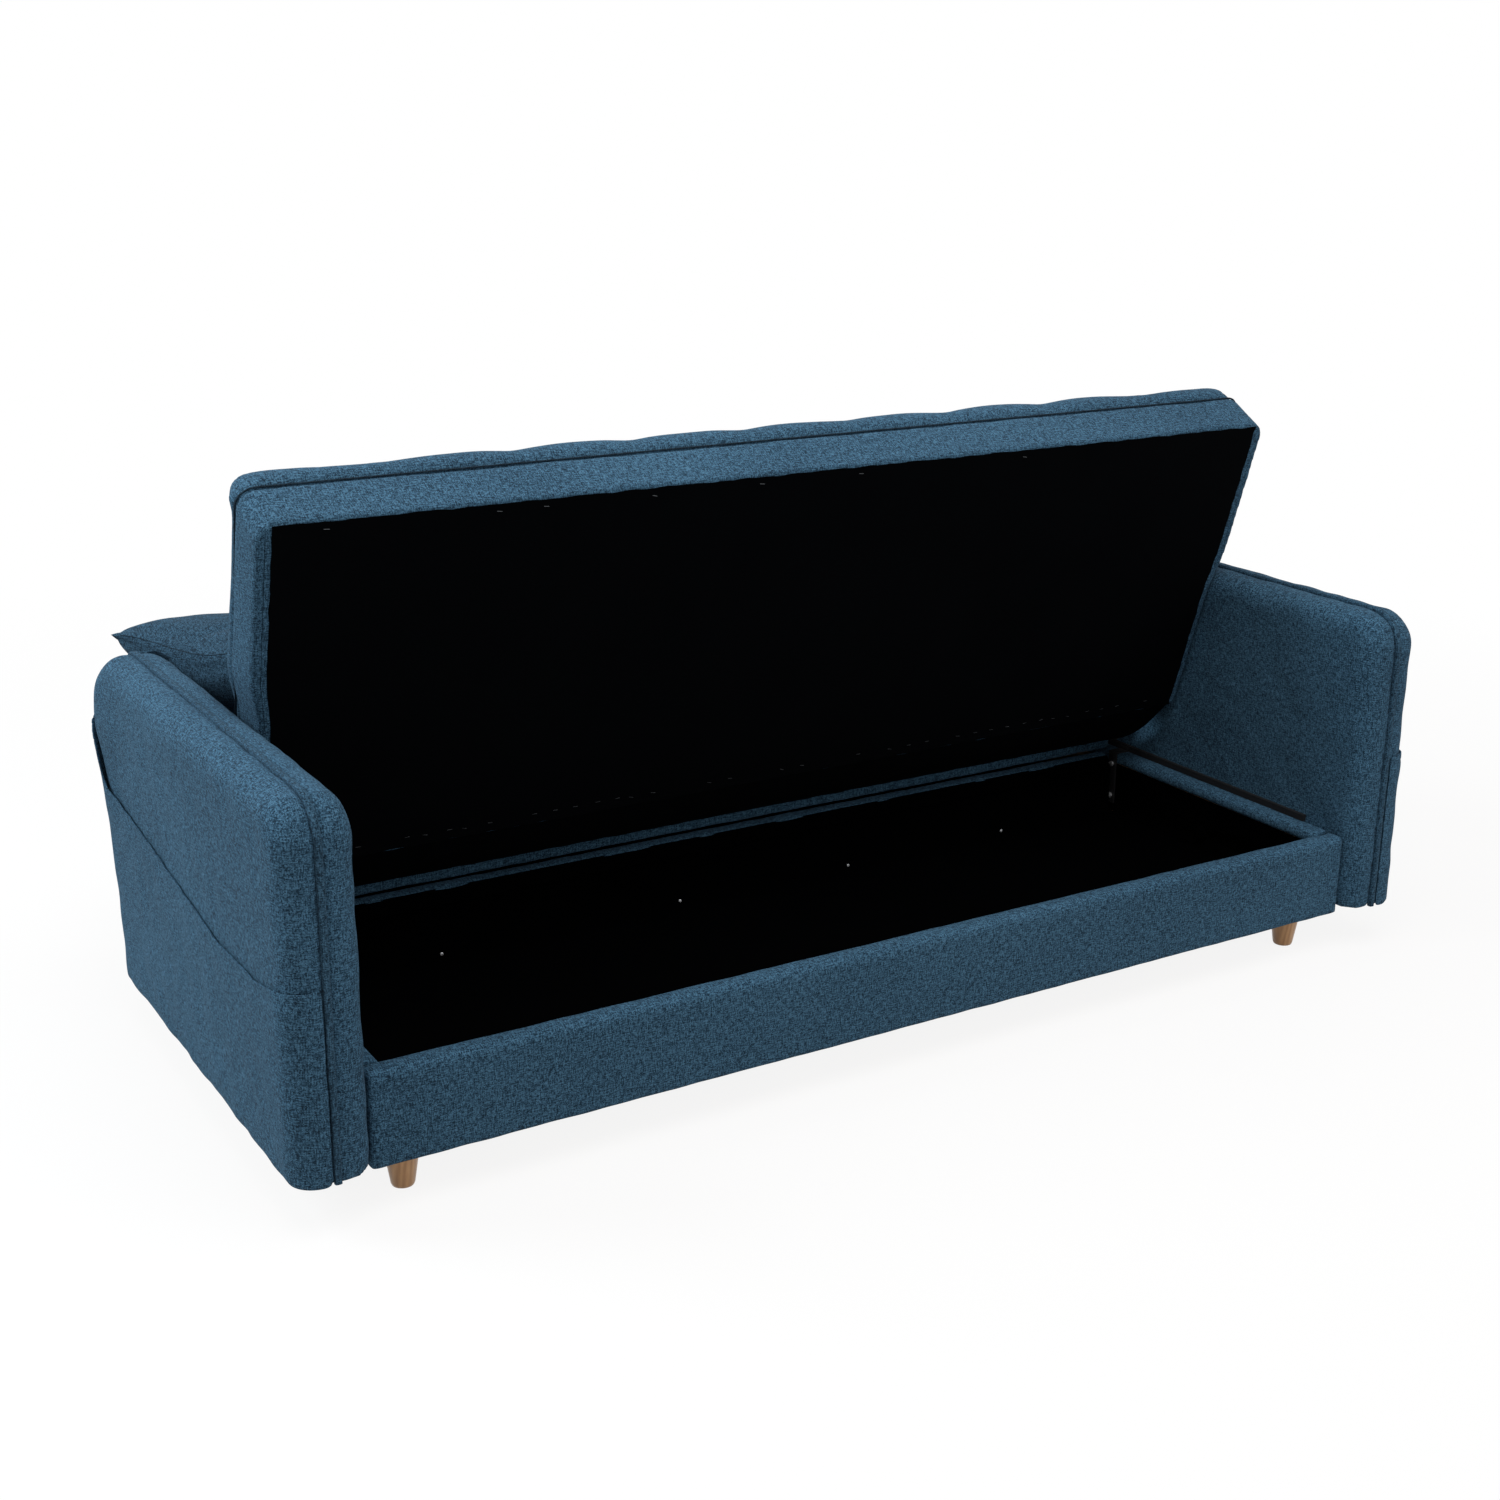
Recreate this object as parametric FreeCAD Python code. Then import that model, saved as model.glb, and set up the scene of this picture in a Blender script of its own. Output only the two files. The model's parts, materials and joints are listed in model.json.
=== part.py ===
import FreeCAD, Part
import math
import os

# Storage sofa bed: a box with two padded arms, and a seat and back unit that
# rolls forward over the box and folds flat into a bed.
# Millimetres. +Z up, the front faces -Y, X runs across.
# Depths are counted forward from the rear face of the rear rail.

V = FreeCAD.Vector

# Base box
inner_width = 1900.0        # between the arms
leg_height = 70.0
rail_height = 150.0         # rails above the legs, padding included
rear_rail_thickness = 42.0
side_rail_thickness = 37.0
cross_rail_thickness = 40.0
cross_rail_depth = 588.0    # rear face of the cross rail
base_depth = 840.0          # front face of the box
front_board_thickness = 22.0
rail_skin = 5.7             # fabric and wadding on the rails
rail_pad = 10.0             # padding on top of the rails
rail_corner = 14.0          # rounding of the rail tops
rail_tuck = 9.0             # fabric turned down inside the box
floor_thickness = 6.0
batten_height = 18.0
batten_width = 45.0
batten_places = (0.2, 0.5, 0.8)    # shares of the box's depth
lining_thickness = 1.0
lining_gap = 0.05           # under the liner
lining_notch = 10.0         # opening past the cross rail's end
corner_block_size = 110.0
rail_end_gap = 2.0          # rear rail to each arm
cross_rail_notch = 61.0     # cross rail end to the arm, room for the bracket

# Arms
arm_thickness = 115.0
arm_rear = -25.0
arm_foot_lead = 2.0          # front edge's foot in front of the box
arm_lean = 65.0              # the front edge leans forward towards the top
arm_bottom = 80.0
arm_top = 636.0
arm_rear_radius = 65.0
arm_front_radius = 85.0
arm_edge_round = 40.0
arm_board = 45.0            # thickness of the frame boards in the arm
arm_post_width = 45.0
arm_rail_width = 60.0
arm_padding = 34.0          # padding outside the frame's outline
arm_posts = 5
arm_bolt_depths = (131.0, 336.0, 722.0)
arm_bolt_lift = 55.0         # above the box's underside
arm_bolt_short = 8.0         # bolt tip inside the frame's outer face
welt_radius = 5.0
welt_sink = 0.5             # centre of the welt inside the outline
pocket_skin = 2.5
pocket_insets = (60.0, 130.0)      # mouth's second place from each end of the arm
pocket_heights = (392.0, 352.0, 380.0, 410.0, 575.0)    # of the mouth, rear to front

# Legs
leg_top_radius = 27.0
leg_foot_radius = 18.0
leg_foot_round = 5.0
leg_foot_curve = 0.3        # share of the rounding at its middle point
leg_top_edge = (1.5, 4.0)   # width and height of the top's bevel
leg_inset_x = 70.0          # from the arm's inner face
leg_inset_y = 64.0          # from the rail's rear face
leg_plate_side = 66.0
leg_plate_thickness = 2.5
leg_plate_corner = 8.0
stud_radius = 4.0
stud_share = 0.8            # of the corner block's height
stud_hole = 26.0

# Seat and back unit
unit_underside = 235.0
seat_side_gap = 20.0        # from the seam between border and pad to the arm
back_side_gap = 2.0
border_height = 84.0
border_flare = 8.0          # the seat's border widens from the underside to the seam
back_side_flare = 4.0       # the same on the back's sides
frame_side_gap = 4.5        # the back's frame inside the seat's hinge plates
back_end_flare = 17.0       # the same at the back's top end
border_thickness = 9.7
border_corner = 30.0
border_turn = 16.5          # fabric turned in over the underside
border_turn_thickness = 2.0
pad_height = 70.0           # foam above the border at a channel's crest
pad_corner = 45.0
pad_bulge = 9.0             # how far the pad's outer end swells past the seam
pad_bulge_hinge = 1.0       # the same at the end next to the hinge
channels = 9
groove_depth = 15.0
groove_pull = 3.5           # how far a seam draws the ends in
pad_crown = 8.0
pad_corner_share = 0.8      # most of a section's height that its corner takes
pad_swell_share = 0.42      # height of the fullest place on the ends
pad_rim_steps = (0.0, 0.1, 0.3, 0.6, 1.0)
pad_rim_pull = 0.98
pad_end_drop = 1.0          # last channel's crest below the others
pad_end_pull = 0.5
seat_advance = 24.0          # the unit in front of the cross rail's rear face
seat_depth = 600.0
back_height = 625.0
bed_gap = 12.0              # seat to back when they lie flat
frame_board = 22.0
ledger_height = 18.0
ledger_thickness = 16.0
slat_width = 62.0
slat_thickness = 8.0
slat_bow = 5.0
piping_radius = 2.6
piping_sink = 1.0
dust_cover_thickness = 1.0
dust_cover_gap = 0.1
fascia_bottom = 80.0
fascia_thickness = 28.0
fascia_set_back = 4.0
fascia_side_gap = 28.0
fascia_foot_depth = 58.0
fascia_foot_height = 22.0
fascia_foot_inset = 20.0
fascia_rounds = (3.0, 9.0)  # rear and front edges
front_leg_inset = 12.0      # nearer the middle than the box's legs
front_leg_set_in = 1.0      # behind the fascia

# Recline hinges
back_tilt = 16.2            # from upright, in the photographed position
pivot_lead = 1.0             # in front of the seat's rear face
pivot_height = 383.0
plate_thickness = 3.0
plate_offset = 0.5          # seat plate to the side of the unit
plate_gap = 0.5             # between the seat's and the back's plates
pivot_radius = 6.0
running_clearance = 0.05
sector_radius = 44.0
tooth_height = 5.0
tooth_pitch = 8.2           # degrees, a ninth of the way to flat
teeth = 11
catch_direction = -75.0     # degrees from the forward direction, where the pawl's nose catches
pawl_reach = 34.0           # pawl pin to the nose, along the rim
pawl_radius = 41.0          # pawl pin outside the pivot, across the rim
pawl_lift = 9.0             # degrees from engaged to clear
pawl_pin_radius = 4.0
pawl_boss = 3.5             # metal round the pin
hinge_bolt_radius = 4.0
hinge_bolt_length = 22.0
hinge_bolt_head = 6.0
seat_bolt_insets = (62.0, 120.0)   # from the seat's rear face
back_bolt_insets = (84.0, 164.0)   # from the back's hinge end
seat_bolt_lift = 30.0        # above the roller's axis
back_bolt_lift = 45.0        # above the unit's underside, lying flat
seat_plate_end = 6.0         # past its last bolt
back_plate_end = 14.0
seat_link_radius = 21.0      # from the pivot down to the roller
seat_arm_radius = 13.0       # along the two bolts
pawl_link_radius = 12.0
back_link_radius = 19.0      # from the pivot to the knee
back_arm_radius = 13.0       # from the knee along the two bolts
knee_inset = 62.0            # from the back's hinge end
knee_lift = 52.0             # above the unit's underside, lying flat
pin_head_thickness = 2.5
pin_head_rim = 4.0
sector_room = 3.0            # round the toothed rim
plate_margin = 2.0           # round the back's plate
tooth_shares = (0.40, 0.22)  # half a gap at its mouth and root, in pitches
nose_shares = (0.30, 0.17)   # half the nose at the rim and tip, in pitches
nose_tip_gap = 1.2
nose_lead = 0.8
pawl_back = 5.5              # pawl's arm outside the rim
pawl_sides = (1.5, 6.0)      # widening behind the nose
pawl_arm_radius = 3.6
pawl_tail = (17.0, -9.0)     # thumb end from the pin
pawl_tail_radius = 4.0

# Running gear
strip_height = 12.0
strip_thickness = 8.0
strip_lift = 0.5            # above the side rail
strip_rear = 100.0
strip_stop_height = 30.0
strip_stop_thickness = 8.0
strip_screw_depths = (150.0, 343.0, 536.0)
strip_screw_bite = 18.0      # into the arm's frame
roller_radius = 15.0
roller_width = 8.0
roller_pin_radius = 4.0
roller_pin_end = 0.8
roller_hub = 3.0
roller_rim = 4.0
roller_dish = 1.5
roller_chamfer = 1.0
roller_play = 0.15          # above the strip
roller_overhang = 1.0
roller_lead = 28.0           # roller centre in front of the seat's rear face
bracket_width = 22.0
bracket_thickness = 3.0
bracket_bolt_heights = (129.0, 197.0)
bracket_tab_height = 9.5
bracket_set_in = 1.5
bracket_end = 16.0           # below its lower bolt
bracket_bolt_radius = 3.0
bracket_bolt_head = 5.5
bracket_bolt_bite = 20.0
bolt_end_gap = 2.0
stop_gap = 0.5

# Scatter cushion
cushion_width = 400.0
cushion_length = 440.0     # from the arm down to the seat
cushion_half_thickness = 64.0
cushion_belly = 98.0         # the same on the side that lies against the arm
cushion_edge = 3.0          # half the thickness at the two end seams
cushion_pull = 14.0         # how far the sides draw in between the corners
cushion_lean = 34.6         # degrees, its outer edge raised on the arm
cushion_tip = -11.4         # degrees, its front edge lowered
cushion_turn = 26.7         # degrees about the vertical
cushion_steps = (-1.0, -0.82, -0.5, 0.0, 0.5, 0.82, 1.0)
cushion_fullness = 2.2
cushion_place = (203.0, 235.0, 553.6)    # its middle from the arm, from the seat's rear, and height
arm_clearance = 1.5

soft_clearance = 0.3
welt_clearance = 0.9         # round a welt in its groove
bore_clearance = 0.3
bolt_radius = 4.0
bolt_head_radius = 7.5
bolt_head_height = 4.5
bolt_head_room = 1.0
screw_radius = 2.0
screw_head_radius = 4.1
screw_head_height = 2.8
screw_head_inset = 0.1
screw_sink_depth = 3.0
screw_bore = 0.2            # hole's radius over the screw's

# Dependent places
half_inner = inner_width / 2
seat_half_width = half_inner - seat_side_gap
back_half_width = half_inner - back_side_gap
fascia_half_width = half_inner - fascia_side_gap
channel_pitch = 2 * seat_half_width / channels
arm_front_foot = base_depth + arm_foot_lead
arm_front = arm_front_foot + arm_lean
half_overall = half_inner + arm_thickness
rail_top = leg_height + rail_height
board_top = rail_top - rail_pad
floor_underside = leg_height + batten_height
floor_top = floor_underside + floor_thickness
lining_top = floor_top + lining_thickness
seat_rear = cross_rail_depth + seat_advance
roller_depth = seat_rear + roller_lead
pivot_depth = seat_rear + pivot_lead
back_front = seat_rear - bed_gap
seat_front = seat_rear + seat_depth
unit_border_top = unit_underside + border_height
pad_bottom = unit_border_top + soft_clearance
frame_bottom = unit_underside + border_turn_thickness + soft_clearance
frame_top = unit_border_top - soft_clearance
flat_swing = 90.0 - back_tilt
mid_depth = (arm_rear + seat_front) / 2
side_wall = half_inner - side_rail_thickness
seat_plate_x = seat_half_width + plate_offset
back_plate_x = seat_plate_x + plate_thickness + plate_gap
strip_bottom = rail_top + strip_lift
strip_top = strip_bottom + strip_height
roller_height = strip_top + roller_radius
strip_front = roller_depth + roller_radius + stop_gap
back_top_end = back_front - back_height
catch = math.radians(catch_direction)
pawl_depth = pivot_depth + pawl_radius * math.cos(catch) - pawl_reach * math.sin(catch)
pawl_height = pivot_height + pawl_radius * math.sin(catch) + pawl_reach * math.cos(catch)
arm_middle = half_inner + arm_thickness / 2
roller_inner = half_inner - strip_thickness - roller_overhang
seat_bolt_height = roller_height + seat_bolt_lift
seat_bolt_depths = [seat_rear + inset for inset in seat_bolt_insets]
back_bolt_height = unit_underside + back_bolt_lift
back_bolt_depths = [back_front - inset for inset in back_bolt_insets]
strip_middle = (strip_bottom + strip_top) / 2
strip_screw_tip = arm_middle - arm_board / 2 + strip_screw_bite
arm_bolt_height = leg_height + arm_bolt_lift
arm_bolt_tip = arm_middle + arm_board / 2 - arm_bolt_short

parts = {}


def at(x, depth, z):
    """Point from a place across, a depth and a height."""
    return V(x, mid_depth - depth, z)


def box(x0, x1, d0, d1, z0, z1):
    """Block between two places across, two depths and two heights."""
    return Part.makeBox(x1 - x0, d1 - d0, z1 - z0, at(x0, d1, z0))


def mirrored(shape):
    """The same shape on the other side of the sofa."""
    return shape.mirror(V(0, 0, 0), V(1, 0, 0))


def both_sides(name, shape):
    """Node on the right-hand side and its mirror on the left."""
    parts[name + "_right"] = shape
    parts[name + "_left"] = mirrored(shape)


def group(shapes):
    """Separate solids that share one node."""
    return Part.makeCompound(list(shapes))


def joined(shapes):
    """One solid out of touching or crossing shapes."""
    first = shapes[0]
    if len(shapes) > 1:
        first = first.fuse(shapes[1:])
    return first.removeSplitter()


def grown_box(shape, gap):
    """Block round a shape's bounds, larger by a gap on every side."""
    b = shape.BoundBox
    return Part.makeBox(b.XLength + 2 * gap, b.YLength + 2 * gap, b.ZLength + 2 * gap,
                        V(b.XMin - gap, b.YMin - gap, b.ZMin - gap))


def rod(x0, x1, depth, z, radius):
    """Round bar across the sofa."""
    return Part.makeCylinder(radius, x1 - x0, at(x0, depth, z), V(1, 0, 0))


def side_wire(points, x):
    """Closed wire at one place across, through (depth, height) pairs.
    A third value rounds that corner."""
    corners = [at(x, p[0], p[1]) for p in points]
    radii = [p[2] if len(p) > 2 else 0.0 for p in points]
    return Part.Wire(rounded_edges(corners, radii, True))


def rounded_edges(corners, radii, closed):
    """Lines through the corners, with a tangent arc at each rounded one."""
    count = len(corners)
    starts = []
    ends = []
    arcs = []
    for i, corner in enumerate(corners):
        radius = radii[i]
        inner = closed or 0 < i < count - 1
        if radius <= 0 or not inner:
            starts.append(corner)
            ends.append(corner)
            arcs.append(None)
            continue
        before = (corners[i - 1] - corner).normalize()
        after = (corners[(i + 1) % count] - corner).normalize()
        half = before.getAngle(after) / 2
        back_off = radius / math.tan(half)
        bisector = (before + after).normalize()
        centre = corner + bisector * (radius / math.sin(half))
        start = corner + before * back_off
        end = corner + after * back_off
        starts.append(start)
        ends.append(end)
        arcs.append(Part.Arc(start, centre - bisector * radius, end).toShape())
    edges = []
    for i in range(count if closed else count - 1):
        if arcs[i] is not None:
            edges.append(arcs[i])
        j = (i + 1) % count
        if ends[i].distanceToPoint(starts[j]) > 1e-6:
            edges.append(Part.LineSegment(ends[i], starts[j]).toShape())
    return edges


def side_plate(points, x0, x1):
    """Plate cut to a side outline, between two places across."""
    return Part.Face(side_wire(points, x0)).extrude(V(x1 - x0, 0, 0))


def link(first, second, radius, x0, x1):
    """Flat link with round ends between two (depth, height) points."""
    a = at(x0, first[0], first[1])
    b = at(x0, second[0], second[1])
    along = (b - a).normalize()
    aside = along.cross(V(1, 0, 0))
    tip_a = a - along * radius
    tip_b = b + along * radius
    edges = [
        Part.LineSegment(a + aside * radius, b + aside * radius).toShape(),
        Part.Arc(b + aside * radius, tip_b, b - aside * radius).toShape(),
        Part.LineSegment(b - aside * radius, a - aside * radius).toShape(),
        Part.Arc(a - aside * radius, tip_a, a + aside * radius).toShape(),
    ]
    return Part.Face(Part.Wire(edges)).extrude(V(x1 - x0, 0, 0))


def turned(profile, centre):
    """Solid of revolution about a vertical axis, from (radius, height) pairs."""
    points = [centre + V(r, 0, z) for r, z in profile]
    wire = Part.makePolygon(points + [points[0]])
    return Part.Face(wire).revolve(centre, V(0, 0, 1), 360)


def bolt_across(x_head, x_tip, depth, z, radius=bolt_radius, head=bolt_head_radius):
    """Hexagon-headed bolt across the sofa; the head is at x_head."""
    way = 1.0 if x_tip > x_head else -1.0
    shank = Part.makeCylinder(radius, abs(x_tip - x_head), at(x_head, depth, z), V(way, 0, 0))
    corners = []
    for i in range(6):
        turn = math.radians(60 * i)
        corners.append(at(x_head, depth + head * math.cos(turn), z + head * math.sin(turn)))
    cap = Part.Face(Part.makePolygon(corners + [corners[0]])).extrude(V(-way * bolt_head_height, 0, 0))
    return shank.fuse(cap).removeSplitter()


def swung(shape):
    """A back part, built lying flat, swung up to the photographed tilt."""
    moved = shape.copy()
    moved.rotate(at(0, pivot_depth, pivot_height), V(1, 0, 0), flat_swing)
    return moved


def rail_cover(x0, x1, inner, outer, tuck_z, outside_z):
    """Fabric and wadding over a rail that runs across the sofa.
    inner and outer are the depths of its two faces."""
    way = 1.0 if outer > inner else -1.0
    skin = rail_skin * way
    under = [
        (outer, outside_z),
        (outer, rail_top, rail_corner),
        (inner, rail_top, rail_corner),
        (inner, tuck_z),
        (inner + skin, tuck_z),
        (inner + skin, board_top + soft_clearance),
        (outer - skin, board_top + soft_clearance),
        (outer - skin, outside_z),
    ]
    return side_plate(under, x0, x1)


def base_box():
    """Boards, floor, lining and covers of the storage box."""
    rear_inner = rear_rail_thickness
    board_in = rail_skin + soft_clearance
    end = half_inner - rail_end_gap
    board_end = end - rail_skin - soft_clearance
    tuck = rail_top - rail_corner - rail_tuck
    side_board_in = side_wall + board_in
    side_board_out = half_inner - soft_clearance

    parts["rear_board"] = box(-side_wall, side_wall, board_in, rear_inner - board_in,
                              leg_height + soft_clearance, board_top)
    cap = side_plate([(0, leg_height), (0, rail_top, rail_corner), (rear_inner, rail_top, rail_corner),
                      (rear_inner, leg_height)], end - rail_skin, end)
    cover = joined([rail_cover(-end, end, rear_inner, 0, tuck, leg_height), cap, mirrored(cap)])
    parts["rear_rail_cover"] = rounded_ends(cover, end, True)

    side_front = base_depth - front_board_thickness
    side = box(side_board_in, side_board_out, rear_inner + soft_clearance, side_front,
               leg_height, board_top)
    both_sides("side_board", side)
    ends = box(side_wall + soft_clearance, board_end, board_in, rear_inner - board_in,
               leg_height + soft_clearance, board_top)
    parts["rear_board"] = joined([parts["rear_board"], ends, mirrored(ends)])

    cross_half = half_inner - cross_rail_notch
    cross_front = cross_rail_depth + cross_rail_thickness
    parts["cross_board"] = box(-cross_half + rail_skin, cross_half - rail_skin,
                               cross_rail_depth + board_in, cross_front - board_in,
                               floor_top, board_top)
    cover = rail_cover(-cross_half, cross_half, cross_rail_depth, cross_front, tuck, tuck)
    parts["cross_rail_cover"] = rounded_ends(cover, cross_half)

    profile_out = half_inner - soft_clearance
    section = [
        V(side_wall, 0, tuck), V(side_wall, 0, rail_top), V(profile_out, 0, rail_top),
        V(profile_out, 0, board_top + soft_clearance),
        V(side_board_in - soft_clearance, 0, board_top + soft_clearance),
        V(side_board_in - soft_clearance, 0, tuck),
    ]
    radii = [0, rail_corner, rail_tuck / 2, 0, 0, 0]
    face = Part.Face(Part.Wire(rounded_edges(section, radii, True)))
    run_start = rear_inner + soft_clearance
    run_end = side_front
    face.translate(V(0, mid_depth - run_start, 0))
    both_sides("side_rail_cover", face.extrude(V(0, run_start - run_end, 0)))

    parts["front_board"] = box(-side_board_out, side_board_out, side_front + soft_clearance, base_depth,
                               leg_height, board_top)
    parts["floor_panel"] = box(-side_board_in + soft_clearance, side_board_in - soft_clearance,
                               rear_inner - board_in + soft_clearance, side_front,
                               floor_underside, floor_top)
    battens = []
    for share in batten_places:
        depth = share * base_depth
        battens.append(box(-side_board_in + corner_block_size, side_board_in - corner_block_size,
                           depth - batten_width / 2, depth + batten_width / 2,
                           leg_height, floor_underside))
    parts["floor_battens"] = group(battens)
    blocks = []
    front_block = side_front - corner_block_size
    for d0 in (rear_inner - board_in + soft_clearance, front_block):
        block = box(side_board_in - corner_block_size, side_board_in - soft_clearance,
                    d0, d0 + corner_block_size, leg_height, floor_underside)
        blocks += [block, mirrored(block)]
    parts["corner_blocks"] = group(blocks)


def rounded_ends(cover, half, rear_only=False):
    """Round the upright corners of a rail's cover, all four or the rear two."""
    b = cover.BoundBox
    block = Part.makeBox(2 * half, b.YLength, b.ZLength + 2, V(-half, b.YMin, b.ZMin - 1))
    upright = [e for e in block.Edges if e.BoundBox.ZLength > b.ZLength]
    if rear_only:
        upright = [e for e in upright if e.CenterOfMass.y > b.YMax - 1]
    return cover.common(block.makeFillet(rail_tuck, upright))


def storage_lining():
    """Thin black liner on the floor and walls of the storage space."""
    wall = side_wall + rail_skin
    rear = rear_rail_thickness - rail_skin
    front = cross_rail_depth + rail_skin
    top = rail_top - rail_corner - rail_tuck - soft_clearance
    outer = box(-wall, wall, rear, front, floor_top + lining_gap, top)
    hollow = box(-wall + lining_thickness, wall - lining_thickness, rear + lining_thickness,
                 front - lining_thickness, lining_top, top + 1)
    side = half_inner - cross_rail_notch + lining_notch
    notch = box(side, wall - lining_thickness, front - 2 * lining_thickness, front + 1,
                lining_top, top + 1)
    flap = box(wall - lining_thickness, wall, front - 1, cross_rail_depth + cross_rail_thickness,
               floor_top + lining_gap, top)
    shell = outer.cut([hollow, notch, mirrored(notch)])
    parts["storage_lining"] = joined([shell, flap, mirrored(flap)])


def arm_outline(grow=0.0, below=0.0):
    """Side outline of an arm, as (depth, height, rounding).
    It can be carried on below the arm's underside."""
    lean = (arm_front - arm_front_foot) / (arm_top - arm_bottom)
    return [
        (arm_rear - grow, arm_bottom - below),
        (arm_rear - grow, arm_top + grow, arm_rear_radius + grow),
        (arm_front + grow, arm_top + grow, arm_front_radius + grow),
        (arm_front_foot + grow - lean * below, arm_bottom - below),
    ]


def arm_half(outward, grow=0.0):
    """Half of an arm from its middle plane, rounded over on its face."""
    half = arm_thickness / 2 + grow
    way = 1.0 if outward else -1.0
    below = 2 * arm_edge_round
    slab = side_plate(arm_outline(grow, below), arm_middle, arm_middle + way * half)
    face_x = arm_middle + way * half
    rim = [e for e in slab.Edges
           if abs(e.CenterOfMass.x - face_x) < 0.1 and e.BoundBox.XLength < 0.1]
    under = box(0, half_overall + arm_thickness, arm_rear - arm_thickness, arm_front + arm_thickness,
                arm_bottom - 2 * below, arm_bottom)
    return slab.makeFillet(arm_edge_round + grow, rim).cut(under)


def arm_frame_boards():
    """Rails and posts inside an arm."""
    x0 = arm_middle - arm_board / 2
    x1 = arm_middle + arm_board / 2
    rear = arm_rear + arm_padding
    front_top = arm_front - arm_padding - arm_front_radius / 2
    low = arm_bottom + soft_clearance
    high = arm_top - arm_padding
    front_low = arm_front_foot - arm_padding
    boards = [box(x0, x1, rear, front_low, low, low + arm_rail_width)]
    boards.append(box(x0, x1, rear, front_top - arm_rail_width, high - arm_post_width, high))
    span = front_low - rear - arm_post_width
    for i in range(arm_posts):
        depth = rear + span * i / (arm_posts - 1)
        boards.append(box(x0, x1, depth, depth + arm_post_width,
                          low + arm_rail_width, high - arm_post_width))
    return boards


def arm_bores():
    """Holes in an arm for the strip's screws and the bolts to the box."""
    screw = screw_radius + screw_bore
    bolt = bolt_radius + bore_clearance
    holes = [rod(half_inner - 1, strip_screw_tip + 1, d, strip_middle, screw) for d in strip_screw_depths]
    return holes + [rod(half_inner - 1, arm_bolt_tip + 1, d, arm_bolt_height, bolt) for d in arm_bolt_depths]


def welt_tube(radius):
    """Welt cord round the rear, top and front of an arm."""
    outline = arm_outline(-welt_sink)
    corners = [at(arm_middle, p[0], p[1]) for p in outline]
    radii = [0.0, outline[1][2], outline[2][2], 0.0]
    corners[0] = corners[0] + V(0, 0, welt_clearance)
    slant = (corners[2] - corners[3]).normalize()
    corners[3] = corners[3] + slant * welt_radius
    path = Part.Wire(rounded_edges(corners, radii, False))
    ring = Part.Wire(Part.makeCircle(radius, corners[0], V(0, 0, 1)))
    return path.makePipeShell([ring], True, False)


def welt_groove():
    """Channel round the middle of an arm's edge, in which the welt lies."""
    half = welt_radius + welt_clearance
    depth = welt_sink + half
    x0 = arm_middle - half
    x1 = arm_middle + half
    outer = side_plate(arm_outline(half, arm_edge_round), x0, x1)
    return outer.cut(side_plate(arm_outline(-depth, 2 * arm_edge_round), x0 - 1, x1 + 1))


def arm():
    """Padded arm: frame, two padded halves, welt and side pocket."""
    boards = arm_frame_boards()
    room = [grown_box(board, soft_clearance) for board in boards]
    holes = arm_bores()
    groove = welt_groove()
    inner = arm_half(False)
    outer = arm_half(True)
    split = box(arm_middle - soft_clearance / 2, arm_middle + soft_clearance / 2,
                arm_rear - arm_thickness, arm_front + arm_thickness, 0, arm_top + arm_thickness)
    pocket_face = half_overall + soft_clearance
    pocket = side_plate(arm_outline(-arm_edge_round), pocket_face, pocket_face + pocket_skin)
    pocket = pocket.common(pocket_region())
    both_sides("arm_inner_pad", inner.cut(room + [groove, split] + holes))
    both_sides("arm_outer_pad", outer.cut(room + [groove, split]))
    both_sides("arm_welt", welt_tube(welt_radius))
    both_sides("arm_pocket", pocket)
    both_sides("arm_frame", group([board.cut(holes) for board in boards]))


def pocket_region():
    """Space below the mouth of the side pocket."""
    x0 = arm_middle + welt_radius
    x1 = half_overall + arm_thickness
    depths = (arm_rear - arm_thickness, arm_rear + pocket_insets[0], (arm_rear + arm_front) / 2,
              arm_front - pocket_insets[1], arm_front + arm_thickness)
    points = [at(x0, depth, height) for depth, height in zip(depths, pocket_heights)]
    mouth = Part.BSplineCurve()
    mouth.interpolate(points)
    start = points[0]
    end = points[-1]
    low_front = at(x0, arm_front + arm_thickness, 0)
    low_rear = at(x0, arm_rear - arm_thickness, 0)
    edges = [
        mouth.toShape(),
        Part.LineSegment(end, low_front).toShape(),
        Part.LineSegment(low_front, low_rear).toShape(),
        Part.LineSegment(low_rear, start).toShape(),
    ]
    return Part.Face(Part.Wire(edges)).extrude(V(x1 - x0, 0, 0))


def leg(depth, x, top):
    """Tapered round wooden leg."""
    foot = leg_foot_radius
    curve = leg_foot_curve * leg_foot_round
    profile = [
        (0, 0), (foot - leg_foot_round, 0), (foot - curve, curve), (foot, leg_foot_round),
        (leg_top_radius, top - leg_top_edge[1]), (leg_top_radius - leg_top_edge[0], top), (0, top),
    ]
    return turned(profile, at(x, depth, 0))


def leg_plate(depth, x, top):
    """Fixing plate and stud above a leg."""
    half = leg_plate_side / 2
    plate = box(x - half, x + half, depth - half, depth + half, top, top + leg_plate_thickness)
    corners = [e for e in plate.Edges if e.Length < half]
    plate = plate.makeFillet(leg_plate_corner, corners)
    height = leg_plate_thickness + batten_height * stud_share
    stud = Part.makeCylinder(stud_radius, height, at(x, depth, top))
    return plate.fuse(stud).removeSplitter()


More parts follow.
